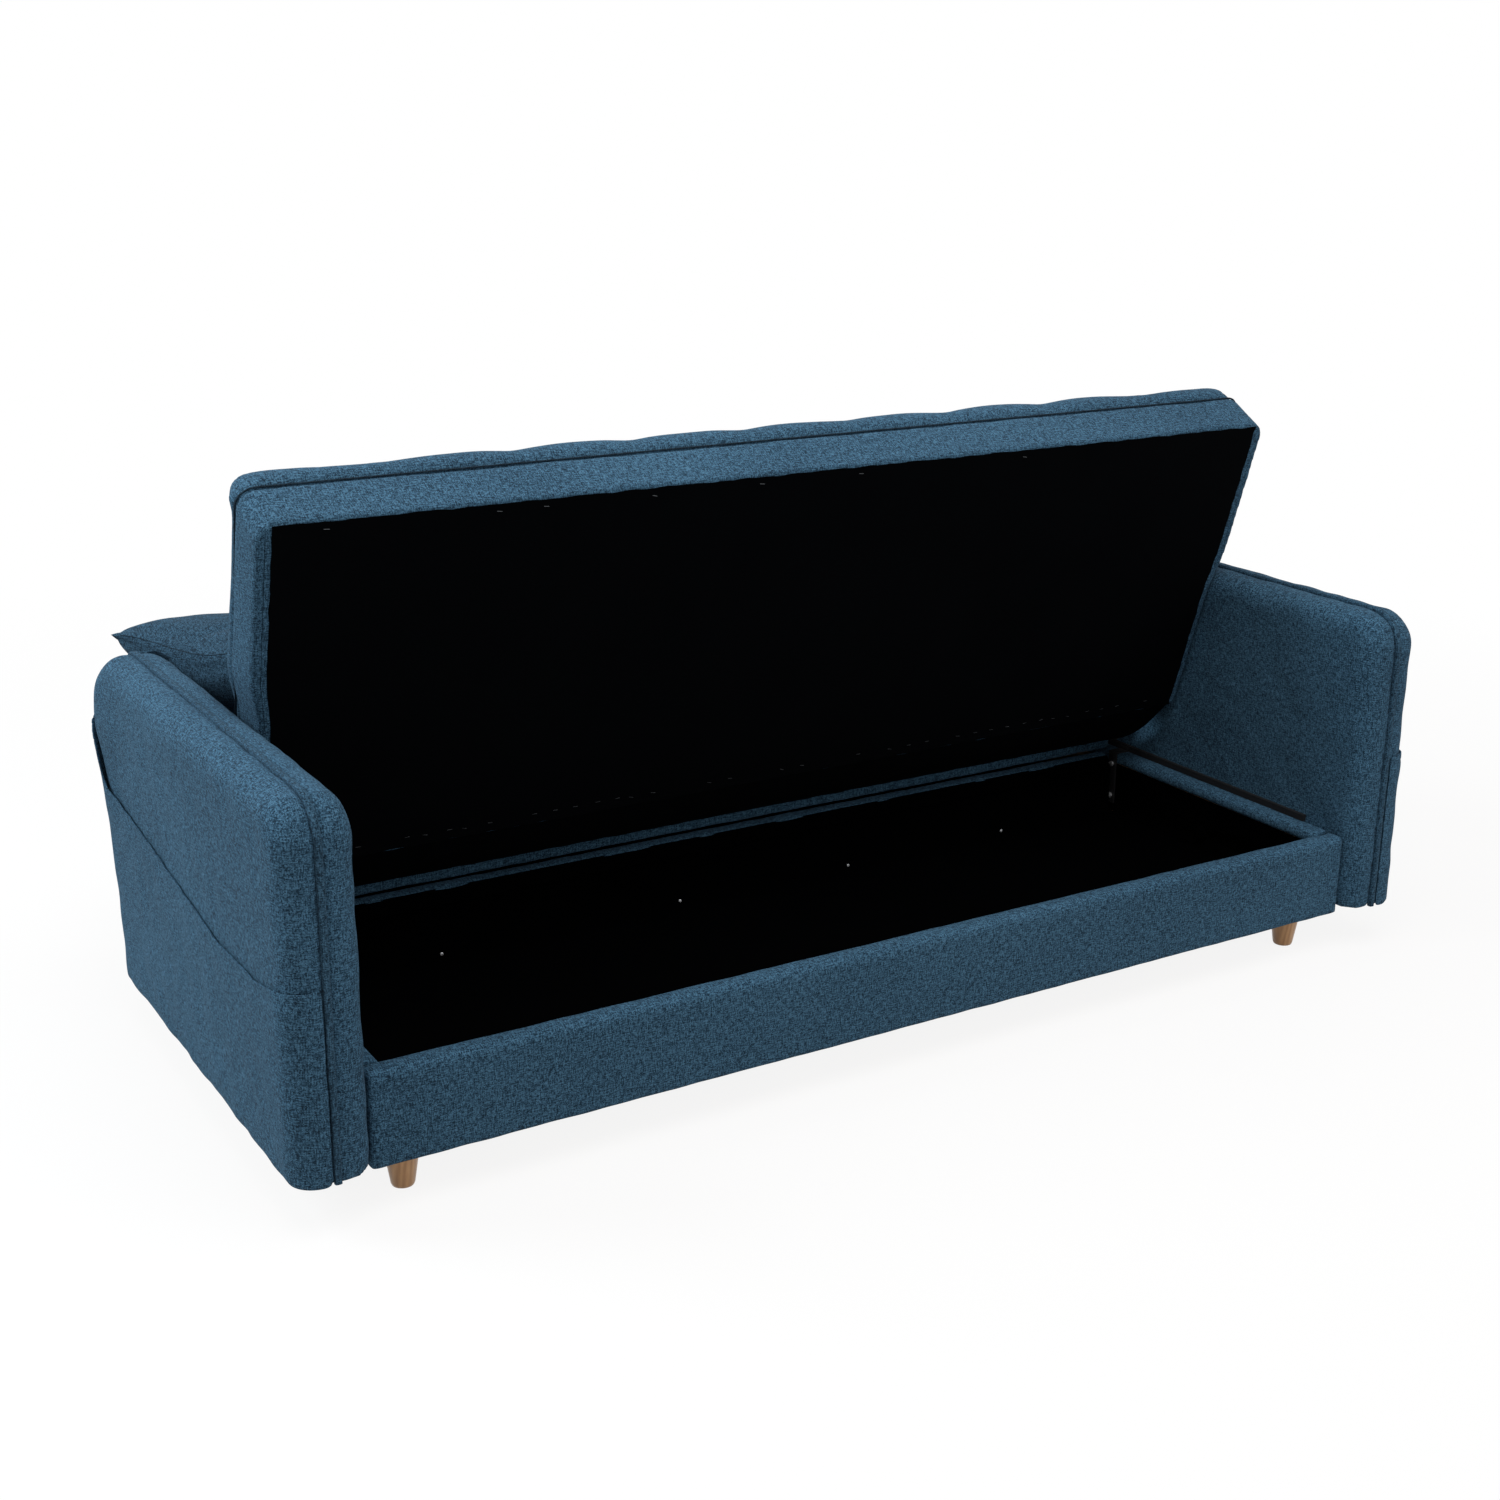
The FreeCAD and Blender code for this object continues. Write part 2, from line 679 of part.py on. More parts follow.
def legs():
    """Four legs under the box; their plates are let into the corner blocks."""
    x = half_inner - leg_inset_x
    top = leg_height - leg_plate_thickness
    depths = {"rear": leg_inset_y, "middle": base_depth - leg_inset_y - front_board_thickness}
    plates = []
    for name, depth in depths.items():
        both_sides("leg_" + name, leg(depth, x, top))
        plate = leg_plate(depth, x, top)
        plates += [plate, mirrored(plate)]
    parts["leg_plates"] = group(plates)
    radius = stud_radius + bore_clearance
    holes = [Part.makeCylinder(radius, stud_hole, at(side * x, depth, leg_height))
             for side in (1, -1) for depth in depths.values()]
    parts["corner_blocks"] = parts["corner_blocks"].cut(holes)


def pad_section(x, span, height, pull):
    """Cross section of a pad: flat below, swelling ends, crowned on top.
    span holds the pad's two ends and how far each of them swells."""
    d0 = span[0] + pull
    d1 = span[1] - pull
    low = pad_bottom
    high = low + height
    corner = min(pad_corner, height * pad_corner_share)
    crown = pad_crown * height / pad_height
    swell = height * pad_swell_share
    start = at(x, d0, low)
    end = at(x, d1, low)
    top0 = at(x, d0 + corner, high)
    top1 = at(x, d1 - corner, high)
    edges = [
        Part.LineSegment(start, end).toShape(),
        Part.Arc(end, at(x, d1 + span[3], low + swell), top1).toShape(),
        Part.Arc(top1, at(x, (d0 + d1) / 2, high + crown), top0).toShape(),
        Part.Arc(top0, at(x, d0 - span[2], low + swell), start).toShape(),
    ]
    return Part.Wire(edges)


def channelled_pad(span, half):
    """Pad with sewn channels; each channel swells between its two seams."""
    crest = pad_height
    seam = pad_height - groove_depth
    pieces = []
    first = -(channels / 2 - 1) * channel_pitch
    for i in range(channels - 2):
        x0 = first + i * channel_pitch
        wires = [
            pad_section(x0, span, seam, groove_pull),
            pad_section(x0 + channel_pitch / 2, span, crest, 0.0),
            pad_section(x0 + channel_pitch, span, seam, groove_pull),
        ]
        pieces.append(Part.makeLoft(wires, True, False))
    side = []
    for step in pad_rim_steps:
        drop = 1 - math.sqrt(1 - step ** 2)
        turn = min(1.0, step * pad_corner / border_corner)
        pull = border_corner * (1 - math.sqrt(1 - turn ** 2)) * pad_rim_pull
        side.append(pad_section(half - pad_corner * (1 - step), span, crest - pad_corner * drop, pull))
    rim = Part.makeLoft(side, True, True)
    inner = -first
    wires = [
        pad_section(half - pad_corner, span, crest, 0.0),
        pad_section((half - pad_corner + inner) / 2, span, crest - pad_end_drop, pad_end_pull),
        pad_section(inner, span, seam, groove_pull),
    ]
    end = Part.makeLoft(wires, True, False)
    pieces += [rim, end, mirrored(rim), mirrored(end)]
    return joined(pieces)


def plan_outline(half, d0, d1, z, corner):
    """Rounded rectangle seen from above."""
    corners = [at(-half, d0, z), at(half, d0, z), at(half, d1, z), at(-half, d1, z)]
    return Part.Wire(rounded_edges(corners, [corner] * 4, True))


def border(half, d0, d1, flares, frame_half):
    """Padded fabric band round the frame, turned in over its underside.
    It widens upwards by the flares of its rear, front and sides."""
    low = plan_outline(half - flares[2], d0 + flares[0], d1 - flares[1], unit_underside, border_corner)
    high = plan_outline(half, d0, d1, unit_border_top, border_corner)
    outer = Part.makeLoft([low, high], True, True)
    x = frame_half + soft_clearance
    r0 = d0 + flares[0] + border_thickness
    r1 = d1 - flares[1] - border_thickness
    room = Part.Face(plan_outline(x, r0, r1, unit_underside + border_turn_thickness,
                                  border_corner - border_thickness)).extrude(V(0, 0, border_height))
    u = half - flares[2] - border_turn
    under = box(-u, u, d0 + flares[0] + border_turn, d1 - flares[1] - border_turn,
                unit_underside - 1, unit_underside + border_turn_thickness + 1)
    return outer.cut([room, under])


def piping(half, d0, d1, radius):
    """Piping cord in the seam between the border and the pad."""
    path = plan_outline(half - piping_sink, d0 + piping_sink, d1 - piping_sink,
                        pad_bottom - soft_clearance / 2, border_corner - piping_sink)
    start = path.Edges[0].Vertexes[0].Point
    way = path.Edges[0].tangentAt(path.Edges[0].FirstParameter)
    ring = Part.Wire(Part.makeCircle(radius, start, way))
    return path.makePipeShell([ring], True, False)


def unit_frame(half, d0, d1):
    """Rails and slat ledgers of the seat's or the back's frame."""
    x = half
    rails = [
        box(-x, x, d0, d0 + frame_board, frame_bottom, frame_top),
        box(-x, x, d1 - frame_board, d1, frame_bottom, frame_top),
    ]
    corner = border_corner - border_thickness - soft_clearance
    rails = [rail.makeFillet(corner, outer_corners(rail, x, (d0, d1))) for rail in rails]
    end = box(x - frame_board, x, d0 + frame_board, d1 - frame_board, frame_bottom, frame_top)
    rails += [end, mirrored(end)]
    ledger_top = frame_top - slat_thickness - slat_bow
    inner_x = x - frame_board
    for a in (d0 + frame_board, d1 - frame_board - ledger_thickness):
        rails.append(box(-inner_x, inner_x, a, a + ledger_thickness,
                         ledger_top - ledger_height, ledger_top))
    return rails


def outer_corners(rail, x, depths):
    """Upright edges of a rail at the outside corners of its frame."""
    found = []
    for edge in rail.Edges:
        middle = edge.CenterOfMass
        depth = mid_depth - middle.y
        upright = edge.BoundBox.ZLength > border_height / 2
        if upright and abs(abs(middle.x) - x) < 0.1 and min(abs(depth - d) for d in depths) < 0.1:
            found.append(edge)
    return found


def slats(half, depth0, depth1):
    """Bowed slats, one below each channel, resting on the ledgers."""
    inset = frame_board + soft_clearance
    d0 = depth0 + inset
    d1 = depth1 - inset
    low = frame_top - slat_thickness - slat_bow
    limit = half - inset - slat_width / 2
    result = []
    for i in range(channels):
        x = (i - (channels - 1) / 2) * channel_pitch
        x0 = max(-limit, min(limit, x)) - slat_width / 2
        middle = (d0 + d1) / 2
        edges = [
            Part.Arc(at(x0, d0, low), at(x0, middle, low + slat_bow), at(x0, d1, low)).toShape(),
            Part.LineSegment(at(x0, d1, low), at(x0, d1, low + slat_thickness)).toShape(),
            Part.Arc(at(x0, d1, low + slat_thickness), at(x0, middle, low + slat_thickness + slat_bow),
                     at(x0, d0, low + slat_thickness)).toShape(),
            Part.LineSegment(at(x0, d0, low + slat_thickness), at(x0, d0, low)).toShape(),
        ]
        result.append(Part.Face(Part.Wire(edges)).extrude(V(slat_width, 0, 0)))
    return result


def unit(prefix, half, d0, d1, ends, place, room, holes):
    """Frame, slats, border, pad, piping and dust cover of the seat or back.
    ends holds each end's flare and swelling, and the flare of the sides."""
    flares = (ends[0][0], ends[1][0], ends[2])
    groove = piping(half, d0, d1, piping_radius + soft_clearance)
    inset = border_thickness + soft_clearance
    frame_half = min(half - flares[2] - inset, seat_plate_x - frame_side_gap)
    f0 = d0 + flares[0] + inset
    f1 = d1 - flares[1] - inset
    span = (d0, d1, ends[0][1], ends[1][1])
    cords = piping(half, d0, d1, piping_radius)
    band = border(half, d0, d1, flares, frame_half).cut([groove] + holes)
    pad = channelled_pad(span, half).cut(groove)
    if room:
        cords = cords.cut(room)
        band = band.cut(room)
        pad = pad.cut(room)
    edge = border_turn + soft_clearance
    top = frame_bottom - dust_cover_gap
    cover_half = half - flares[2] - edge
    cover = box(-cover_half, cover_half, d0 + flares[0] + edge, d1 - flares[1] - edge,
                top - dust_cover_thickness, top)
    parts[prefix + "_frame"] = place(group([rail.cut(holes) for rail in unit_frame(frame_half, f0, f1)]))
    parts[prefix + "_slats"] = place(group(slats(frame_half, f0, f1)))
    parts[prefix + "_border"] = place(band)
    parts[prefix + "_cushion"] = place(pad)
    parts[prefix + "_piping"] = place(Part.makeCompound(cords.Solids))
    parts[prefix + "_dust_cover"] = place(cover)


def fascia():
    """Upholstered front board of the seat, with the foot that its legs carry."""
    d1 = seat_front - fascia_set_back
    d0 = d1 - fascia_thickness
    top = unit_underside - soft_clearance
    rear_round, front_round = fascia_rounds
    outline = [
        (d0, fascia_bottom, rear_round), (d0, top), (d1, top), (d1, fascia_bottom, front_round),
    ]
    board = side_plate(outline, -fascia_half_width, fascia_half_width)
    front_height = top - fascia_bottom
    uprights = []
    for edge in board.Edges:
        b = edge.BoundBox
        at_end = abs(abs(edge.CenterOfMass.x) - fascia_half_width) < 0.1
        if at_end and b.ZLength > front_height / 2 and abs(mid_depth - edge.CenterOfMass.y - d1) < 0.1:
            uprights.append(edge)
    parts["seat_fascia"] = board.makeFillet(front_round, uprights)
    foot = d1 - fascia_foot_depth
    foot_half = fascia_half_width - fascia_foot_inset
    parts["fascia_foot"] = box(-foot_half, foot_half, foot, d0 - soft_clearance,
                               fascia_bottom, fascia_bottom + fascia_foot_height)
    x = half_inner - leg_inset_x - front_leg_inset
    both_sides("leg_front", leg(d0 - front_leg_set_in, x, fascia_bottom))


def seat_plate_shape():
    """Seat's hinge plate with the hinge pin, the pawl pin and the roller pin."""
    x0 = seat_plate_x
    x1 = x0 + plate_thickness
    pivot = (pivot_depth, pivot_height)
    front = (seat_bolt_depths[-1] + seat_plate_end, seat_bolt_height)
    plate = joined([
        link(pivot, (roller_depth, seat_bolt_height), seat_link_radius, x0, x1),
        link((roller_depth, roller_height), front, seat_arm_radius, x0, x1),
        link(pivot, (pawl_depth, pawl_height), pawl_link_radius, x0, x1),
    ])
    bore = hinge_bolt_radius + bore_clearance
    for depth in seat_bolt_depths:
        plate = plate.cut(rod(x0 - 1, x1 + 1, depth, seat_bolt_height, bore))
    outer = back_plate_x + plate_thickness + 2 * plate_gap
    pin = rod(x1 - 1, outer, pivot_depth, pivot_height, pivot_radius)
    head_x = outer + pin_head_thickness
    pin_head = rod(outer, head_x, pivot_depth, pivot_height, pivot_radius + pin_head_rim)
    pawl_pin = rod(x1 - 1, outer - plate_gap + 1, pawl_depth, pawl_height, pawl_pin_radius)
    hub = roller_pin_radius + roller_hub
    shoulder = rod(x1 - 1, roller_inner - bore_clearance, roller_depth, roller_height, hub)
    pin_end = roller_inner + roller_width + roller_pin_end
    roller_pin = rod(x1 - 1, pin_end, roller_depth, roller_height, roller_pin_radius)
    return joined([plate, pin, pin_head, pawl_pin, shoulder, roller_pin])


def back_plate_outline(grow, x0, x1):
    """Arm of the back's hinge plate, lying flat, widened all round by grow."""
    knee = (back_front - knee_inset, unit_underside + knee_lift)
    end = (back_bolt_depths[-1] - back_plate_end, back_bolt_height)
    return [
        link((pivot_depth, pivot_height), knee, back_link_radius + grow, x0, x1),
        link(knee, end, back_arm_radius + grow, x0, x1),
    ]


def hinge_room():
    """Space kept free in the sides of the back for the hinge, lying flat."""
    x0 = seat_plate_x - 2 * plate_offset
    x1 = half_inner
    plate_x = back_plate_x - soft_clearance
    right = [rod(x0, x1, pivot_depth, pivot_height, sector_radius + sector_room)]
    right += back_plate_outline(plate_margin, plate_x, x1)
    return right + [mirrored(r) for r in right]


def plate_room():
    """Flat kept free on the seat's sides for its hinge plates."""
    x0 = seat_plate_x - soft_clearance
    d1 = seat_bolt_depths[-1] + bed_gap
    right = box(x0, half_inner, seat_rear - bed_gap, d1, unit_underside, unit_border_top + border_corner)
    return [right, mirrored(right)]


def back_plate_shape():
    """Back's hinge plate with its ratchet teeth, lying flat."""
    x0 = back_plate_x
    x1 = x0 + plate_thickness
    disc = rod(x0, x1, pivot_depth, pivot_height, sector_radius)
    gaps = [tooth_gap(i, x0, x1) for i in range(teeth)]
    outline = back_plate_outline(0.0, x0, x1)
    plate = joined([disc.cut(gaps), outline[0].cut(gaps), outline[1]])
    plate = plate.cut(rod(x0 - 1, x1 + 1, pivot_depth, pivot_height, pivot_radius + running_clearance))
    bore = hinge_bolt_radius + bore_clearance
    for depth in back_bolt_depths:
        plate = plate.cut(rod(x0 - 1, x1 + 1, depth, back_bolt_height, bore))
    return plate


def tooth_gap(index, x0, x1):
    """Space between two teeth, placed with the back lying flat."""
    # The first gap meets the nose when the back is flat; each pitch brings round the next.
    centre = catch_direction + index * tooth_pitch
    corners = []
    reach = sector_radius + sector_room
    root = sector_radius - tooth_height
    wide, narrow = tooth_shares
    for offset, radius in ((wide, reach), (narrow, root), (-narrow, root), (-wide, reach)):
        angle = math.radians(centre + offset * tooth_pitch)
        depth = pivot_depth + radius * math.cos(angle)
        corners.append(at(x0 - 1, depth, pivot_height + radius * math.sin(angle)))
    return Part.Face(Part.makePolygon(corners + [corners[0]])).extrude(V(x1 - x0 + 2, 0, 0))


def rim_point(radius, aside=0.0):
    """Depth and height of a point at the catch, across and along the toothed rim."""
    depth = pivot_depth + radius * math.cos(catch) - aside * math.sin(catch)
    height = pivot_height + radius * math.sin(catch) + aside * math.cos(catch)
    return depth, height


def pawl_shape():
    """Ratchet pawl, lifted clear of the teeth."""
    x0 = back_plate_x
    x1 = x0 + plate_thickness
    pin = (pawl_depth, pawl_height)
    outside = sector_radius + pawl_back
    lead = sector_radius + nose_lead
    tip = sector_radius - tooth_height + nose_tip_gap
    half_mouth = math.radians(tooth_pitch * nose_shares[0]) * sector_radius
    half_tip = math.radians(tooth_pitch * nose_shares[1]) * tip
    outline = [
        rim_point(outside, -half_mouth - pawl_sides[0]), rim_point(lead, -half_mouth),
        rim_point(tip, -half_tip), rim_point(tip, half_tip),
        rim_point(lead, half_mouth), rim_point(outside, half_mouth + pawl_sides[1]),
    ]
    corners = [at(x0, d, z) for d, z in outline]
    nose = Part.Face(Part.makePolygon(corners + [corners[0]])).extrude(V(x1 - x0, 0, 0))
    pawl = joined([
        nose,
        link(rim_point(outside), pin, pawl_arm_radius, x0, x1),
        rod(x0, x1, pawl_depth, pawl_height, pawl_pin_radius + pawl_boss),
        link(pin, (pawl_depth + pawl_tail[0], pawl_height + pawl_tail[1]), pawl_tail_radius, x0, x1),
    ])
    pawl = pawl.cut(rod(x0 - 1, x1 + 1, pawl_depth, pawl_height, pawl_pin_radius + running_clearance))
    pawl.rotate(at(0, pawl_depth, pawl_height), V(1, 0, 0), -pawl_lift)
    return pawl


def roller_shape():
    """Nylon roller with a hub."""
    x0 = roller_inner
    x1 = x0 + roller_width
    tyre = rod(x0, x1, roller_depth, roller_height, roller_radius - roller_play)
    edges = [e for e in tyre.Edges if e.Length > roller_radius * 4]
    tyre = tyre.makeChamfer(roller_chamfer, edges)
    bore = rod(x0 - 1, x1 + 1, roller_depth, roller_height, roller_pin_radius + running_clearance)
    dish = rod(x1 - roller_dish, x1, roller_depth, roller_height, roller_radius - roller_rim)
    hub = rod(x1 - roller_dish, x1, roller_depth, roller_height, roller_pin_radius + roller_hub)
    return tyre.cut([bore, dish.cut(hub)])


def running_gear():
    """Strips on the arms, their brackets in the box and the fasteners."""
    x0 = half_inner - strip_thickness
    x1 = half_inner - soft_clearance
    strip = box(x0, x1, strip_rear, strip_front + strip_stop_thickness, strip_bottom, strip_top)
    stop = box(x0, x1, strip_front, strip_front + strip_stop_thickness,
               strip_top + bore_clearance / 2, strip_bottom + strip_stop_height)
    across = V(1, 0, 0)
    bore = screw_radius + screw_bore
    cuts = []
    for d in strip_screw_depths:
        place = at(x0, d, strip_middle)
        cuts.append(Part.makeCone(screw_head_radius + screw_bore, bore, screw_sink_depth, place, across))
        cuts.append(rod(x0, half_inner + 1, d, strip_middle, bore))
    both_sides("runner_strip", group([strip.cut(cuts), stop]))
    wall = side_wall + rail_skin
    b0 = side_wall - soft_clearance - bracket_thickness
    d0 = cross_rail_depth + bracket_set_in
    d1 = d0 + bracket_width
    low = bracket_bolt_heights[0] - bracket_end
    shelf = rail_top + soft_clearance
    edge = x0 - soft_clearance
    bracket = joined([
        box(b0, b0 + bracket_thickness, d0, d1, low, shelf + bracket_thickness),
        box(b0, edge, d0, d1, shelf, shelf + bracket_thickness),
        box(edge - bracket_thickness, edge, d0, d1, shelf, shelf + bracket_tab_height),
    ])
    middle = (d0 + d1) / 2
    bolt_bore = bracket_bolt_radius + screw_bore
    tip = wall + bracket_bolt_bite
    fasteners = []
    side_room = []
    for z in bracket_bolt_heights:
        bracket = bracket.cut(rod(b0 - 1, b0 + bracket_thickness + 1, middle, z, bolt_bore))
        fasteners.append(bolt_across(b0, tip, middle, z, bracket_bolt_radius, bracket_bolt_head))
        side_room.append(rod(side_wall - 1, tip + bolt_end_gap, middle, z, bolt_bore))
    both_sides("runner_bracket", bracket)
    head_x = x0 + screw_head_inset
    for d in strip_screw_depths:
        place = at(head_x, d, strip_middle)
        head = Part.makeCone(screw_head_radius, screw_radius, screw_head_height, place, across)
        shank = rod(head_x, strip_screw_tip, d, strip_middle, screw_radius)
        fasteners.append(head.fuse(shank).removeSplitter())
    for d in arm_bolt_depths:
        fasteners.append(bolt_across(wall + soft_clearance, arm_bolt_tip, d, arm_bolt_height))
    parts["base_fasteners"] = group(fasteners + [mirrored(f) for f in fasteners])
    return side_room


def bored(name, holes):
    """Cut the same holes in a right-hand node and, mirrored, in the left one."""
    parts[name + "_right"] = parts[name + "_right"].cut(holes)
    parts[name + "_left"] = mirrored(parts[name + "_right"])


def scatter_cushion():
    """Loose square cushion that leans on the arm, pressed in where it meets it."""
    half = cushion_length / 2
    side = cushion_width / 2
    wires = []
    for step in cushion_steps:
        u = half * step
        reach = side - cushion_pull * (1 - step ** 2)
        swell = math.sqrt(1 - abs(step) ** cushion_fullness)
        thick = max(cushion_edge, cushion_half_thickness * swell)
        belly = max(cushion_edge, cushion_belly * swell)
        a = V(u, -reach, 0)
        b = V(u, reach, 0)
        wires.append(Part.Wire([
            Part.Arc(a, V(u, 0, thick), b).toShape(),
            Part.Arc(b, V(u, 0, -belly), a).toShape(),
        ]))
    cushion = Part.makeLoft(wires, True, False)
    cushion.rotate(V(0, 0, 0), V(0, 1, 0), cushion_lean)
    cushion.rotate(V(0, 0, 0), V(1, 0, 0), cushion_tip)
    cushion.rotate(V(0, 0, 0), V(0, 0, 1), cushion_turn + 180.0)
    cushion.translate(at(half_inner - cushion_place[0], seat_rear + cushion_place[1], cushion_place[2]))
    top = arm_top - welt_sink + welt_radius + arm_clearance
    side = half_inner - arm_clearance
    room = Part.makeBox(cushion_width, 2 * half_overall, 2 * top, V(side, -half_overall, -top))
    edge = [e for e in room.Edges
            if abs(e.CenterOfMass.x - side) < 0.1 and abs(e.CenterOfMass.z - top) < 0.1]
    return cushion.cut(room.makeFillet(arm_edge_round, edge))


def hinge_bolts(depths, height, plate_x):
    """Bolts through a hinge plate and the border into the frame."""
    head_x = plate_x + plate_thickness
    tip_x = seat_half_width - hinge_bolt_length
    right = [bolt_across(head_x, tip_x, d, height, hinge_bolt_radius, hinge_bolt_head) for d in depths]
    return right + [mirrored(b) for b in right]


def bolt_room(depths, height, half):
    """Clearance for the hinge bolts in the border and the frame."""
    tip_x = seat_half_width - hinge_bolt_length - bolt_head_room
    right = [rod(tip_x, half + 1, d, height, hinge_bolt_radius + bore_clearance) for d in depths]
    return right + [mirrored(r) for r in right]


def build():
    """Make every node."""
    base_box()
    storage_lining()
    arm()
    legs()
    side_room = running_gear()
    arm_bolt_room = [rod(side_wall, half_inner + 1, d, arm_bolt_height, bolt_radius + bore_clearance)
                     for d in arm_bolt_depths]
    head_end = side_wall + rail_skin + soft_clearance + lining_gap
    head_room = [rod(side_wall, head_end, d, arm_bolt_height, bolt_head_radius + bolt_head_room)
                 for d in arm_bolt_depths]
    bored("side_board", side_room + arm_bolt_room)
    bored("side_rail_cover", side_room)
    lining_holes = head_room + side_room
    lining_holes += [mirrored(hole) for hole in lining_holes]
    parts["storage_lining"] = parts["storage_lining"].cut(lining_holes)

    seat_ends = ((0.0, pad_bulge_hinge), (border_flare, pad_bulge), border_flare)
    back_ends = ((back_end_flare, pad_bulge), (0.0, pad_bulge_hinge), back_side_flare)
    unit("seat", seat_half_width, seat_rear, seat_front, seat_ends, lambda s: s, plate_room(),
         bolt_room(seat_bolt_depths, seat_bolt_height, seat_half_width))
    unit("back", back_half_width, back_top_end, back_front, back_ends, swung, hinge_room(),
         bolt_room(back_bolt_depths, back_bolt_height, back_half_width))
    fascia()
    both_sides("seat_hinge_plate", seat_plate_shape())
    both_sides("back_hinge_plate", swung(back_plate_shape()))
    parts["seat_hinge_bolts"] = group(hinge_bolts(seat_bolt_depths, seat_bolt_height, seat_plate_x))
    back_bolts = hinge_bolts(back_bolt_depths, back_bolt_height, back_plate_x)
    parts["back_hinge_bolts"] = swung(group(back_bolts))
    both_sides("pawl", pawl_shape())
    both_sides("roller", roller_shape())
    parts["scatter_cushion"] = scatter_cushion()


build()
os.makedirs("parts", exist_ok=True)
for name, shape in parts.items():
    shape.exportStep(os.path.join("parts", name + ".step"))
    ok = shape.isValid() and len(shape.Solids) > 0
    b = shape.BoundBox
    print(f"{name:24s} solids {len(shape.Solids):3d} valid {ok} "
          f"x {b.XMin:.0f}..{b.XMax:.0f} y {b.YMin:.0f}..{b.YMax:.0f} z {b.ZMin:.0f}..{b.ZMax:.0f}")
print("nodes", len(parts))
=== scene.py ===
import bpy
import bmesh
import json
import math
from mathutils import Matrix, Vector, noise


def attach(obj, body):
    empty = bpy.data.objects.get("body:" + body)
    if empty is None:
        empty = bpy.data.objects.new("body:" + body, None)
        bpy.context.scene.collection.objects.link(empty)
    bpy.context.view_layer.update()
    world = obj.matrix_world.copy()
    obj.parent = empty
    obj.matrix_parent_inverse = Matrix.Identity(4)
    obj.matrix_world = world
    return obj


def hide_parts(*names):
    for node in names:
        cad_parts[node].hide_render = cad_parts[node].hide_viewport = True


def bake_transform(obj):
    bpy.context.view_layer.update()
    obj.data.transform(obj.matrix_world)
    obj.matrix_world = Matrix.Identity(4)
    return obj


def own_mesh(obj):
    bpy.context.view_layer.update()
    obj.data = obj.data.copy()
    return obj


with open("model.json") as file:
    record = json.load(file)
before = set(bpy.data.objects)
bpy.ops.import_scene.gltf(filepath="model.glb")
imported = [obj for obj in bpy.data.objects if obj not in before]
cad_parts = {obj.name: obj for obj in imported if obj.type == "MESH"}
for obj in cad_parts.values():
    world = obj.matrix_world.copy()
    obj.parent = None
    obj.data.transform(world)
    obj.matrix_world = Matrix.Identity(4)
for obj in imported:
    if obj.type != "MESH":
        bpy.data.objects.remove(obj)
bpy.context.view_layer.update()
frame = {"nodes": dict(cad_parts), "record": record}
nodes = frame["nodes"]
sides = {"right": 1.0, "left": -1.0}


# Small tools

def deselectAll():
    bpy.ops.object.select_all(action="DESELECT")


def pickObject(piece):
    deselectAll()
    piece.select_set(True)
    bpy.context.view_layer.objects.active = piece


def applyModifier(piece, kind, **settings):
    # adds one modifier, sets it and applies it
    pickObject(piece)
    step = piece.modifiers.new(kind.title(), kind)
    for key, value in settings.items():
        setattr(step, key, value)
    bpy.ops.object.modifier_apply(modifier=step.name)
    return piece


def editPiece(piece, change, **settings):
    # opens the mesh, runs one change on it and writes it back
    mesh = bmesh.new()
    mesh.from_mesh(piece.data)
    change(mesh, **settings)
    mesh.to_mesh(piece.data)
    mesh.free()
    piece.data.update()
    return piece


def linked(name, data):
    # a new object in the scene, with this mesh, lamp or camera
    piece = bpy.data.objects.new(name, data)
    bpy.context.scene.collection.objects.link(piece)
    return piece


def pieceOfMesh(name, mesh):
    # a new piece from a mesh that was built here
    data = bpy.data.meshes.new(name)
    mesh.to_mesh(data)
    mesh.free()
    return linked(name, data)


def copyOfNode(node, name):
    # a welded copy of a frame node's mesh, as a new piece
    piece = linked(name, nodes[node].data.copy())
    piece.data.materials.clear()
    editPiece(piece, lambda m: bmesh.ops.remove_doubles(m, verts=m.verts, dist=1e-5))
    return piece


def joinedPiece(pieces, name):
    deselectAll()
    for piece in pieces:
        piece.select_set(True)
    bpy.context.view_layer.objects.active = pieces[0]
    bpy.ops.object.join()
    pieces[0].name = name
    return pieces[0]


def remeshed(piece, voxel):
    return applyModifier(piece, "REMESH", mode="VOXEL", voxel_size=voxel, use_smooth_shade=True)


def softened(piece, factor, steps):
    return applyModifier(piece, "SMOOTH", factor=factor, iterations=steps)


def thickened(piece, thickness, offset=0.0):
    return applyModifier(piece, "SOLIDIFY", thickness=thickness, offset=offset)


def rumpled(piece, scale, height, seed):
    # shallow unevenness of fabric over wadding
    offset = Vector((seed * 1.7, seed * 2.3, seed * 3.1))
    piece.data.update()
    normals = [v.normal.copy() for v in piece.data.vertices]
    for v, n in zip(piece.data.vertices, normals):
        v.co += n * height * noise.noise(v.co * scale + offset)
    piece.data.update()
    return piece


def smoothShaded(piece, angle=None):
    pickObject(piece)
    if angle is None:
        bpy.ops.object.shade_smooth()
    else:
        bpy.ops.object.shade_smooth_by_angle(angle=math.radians(angle))
    return piece


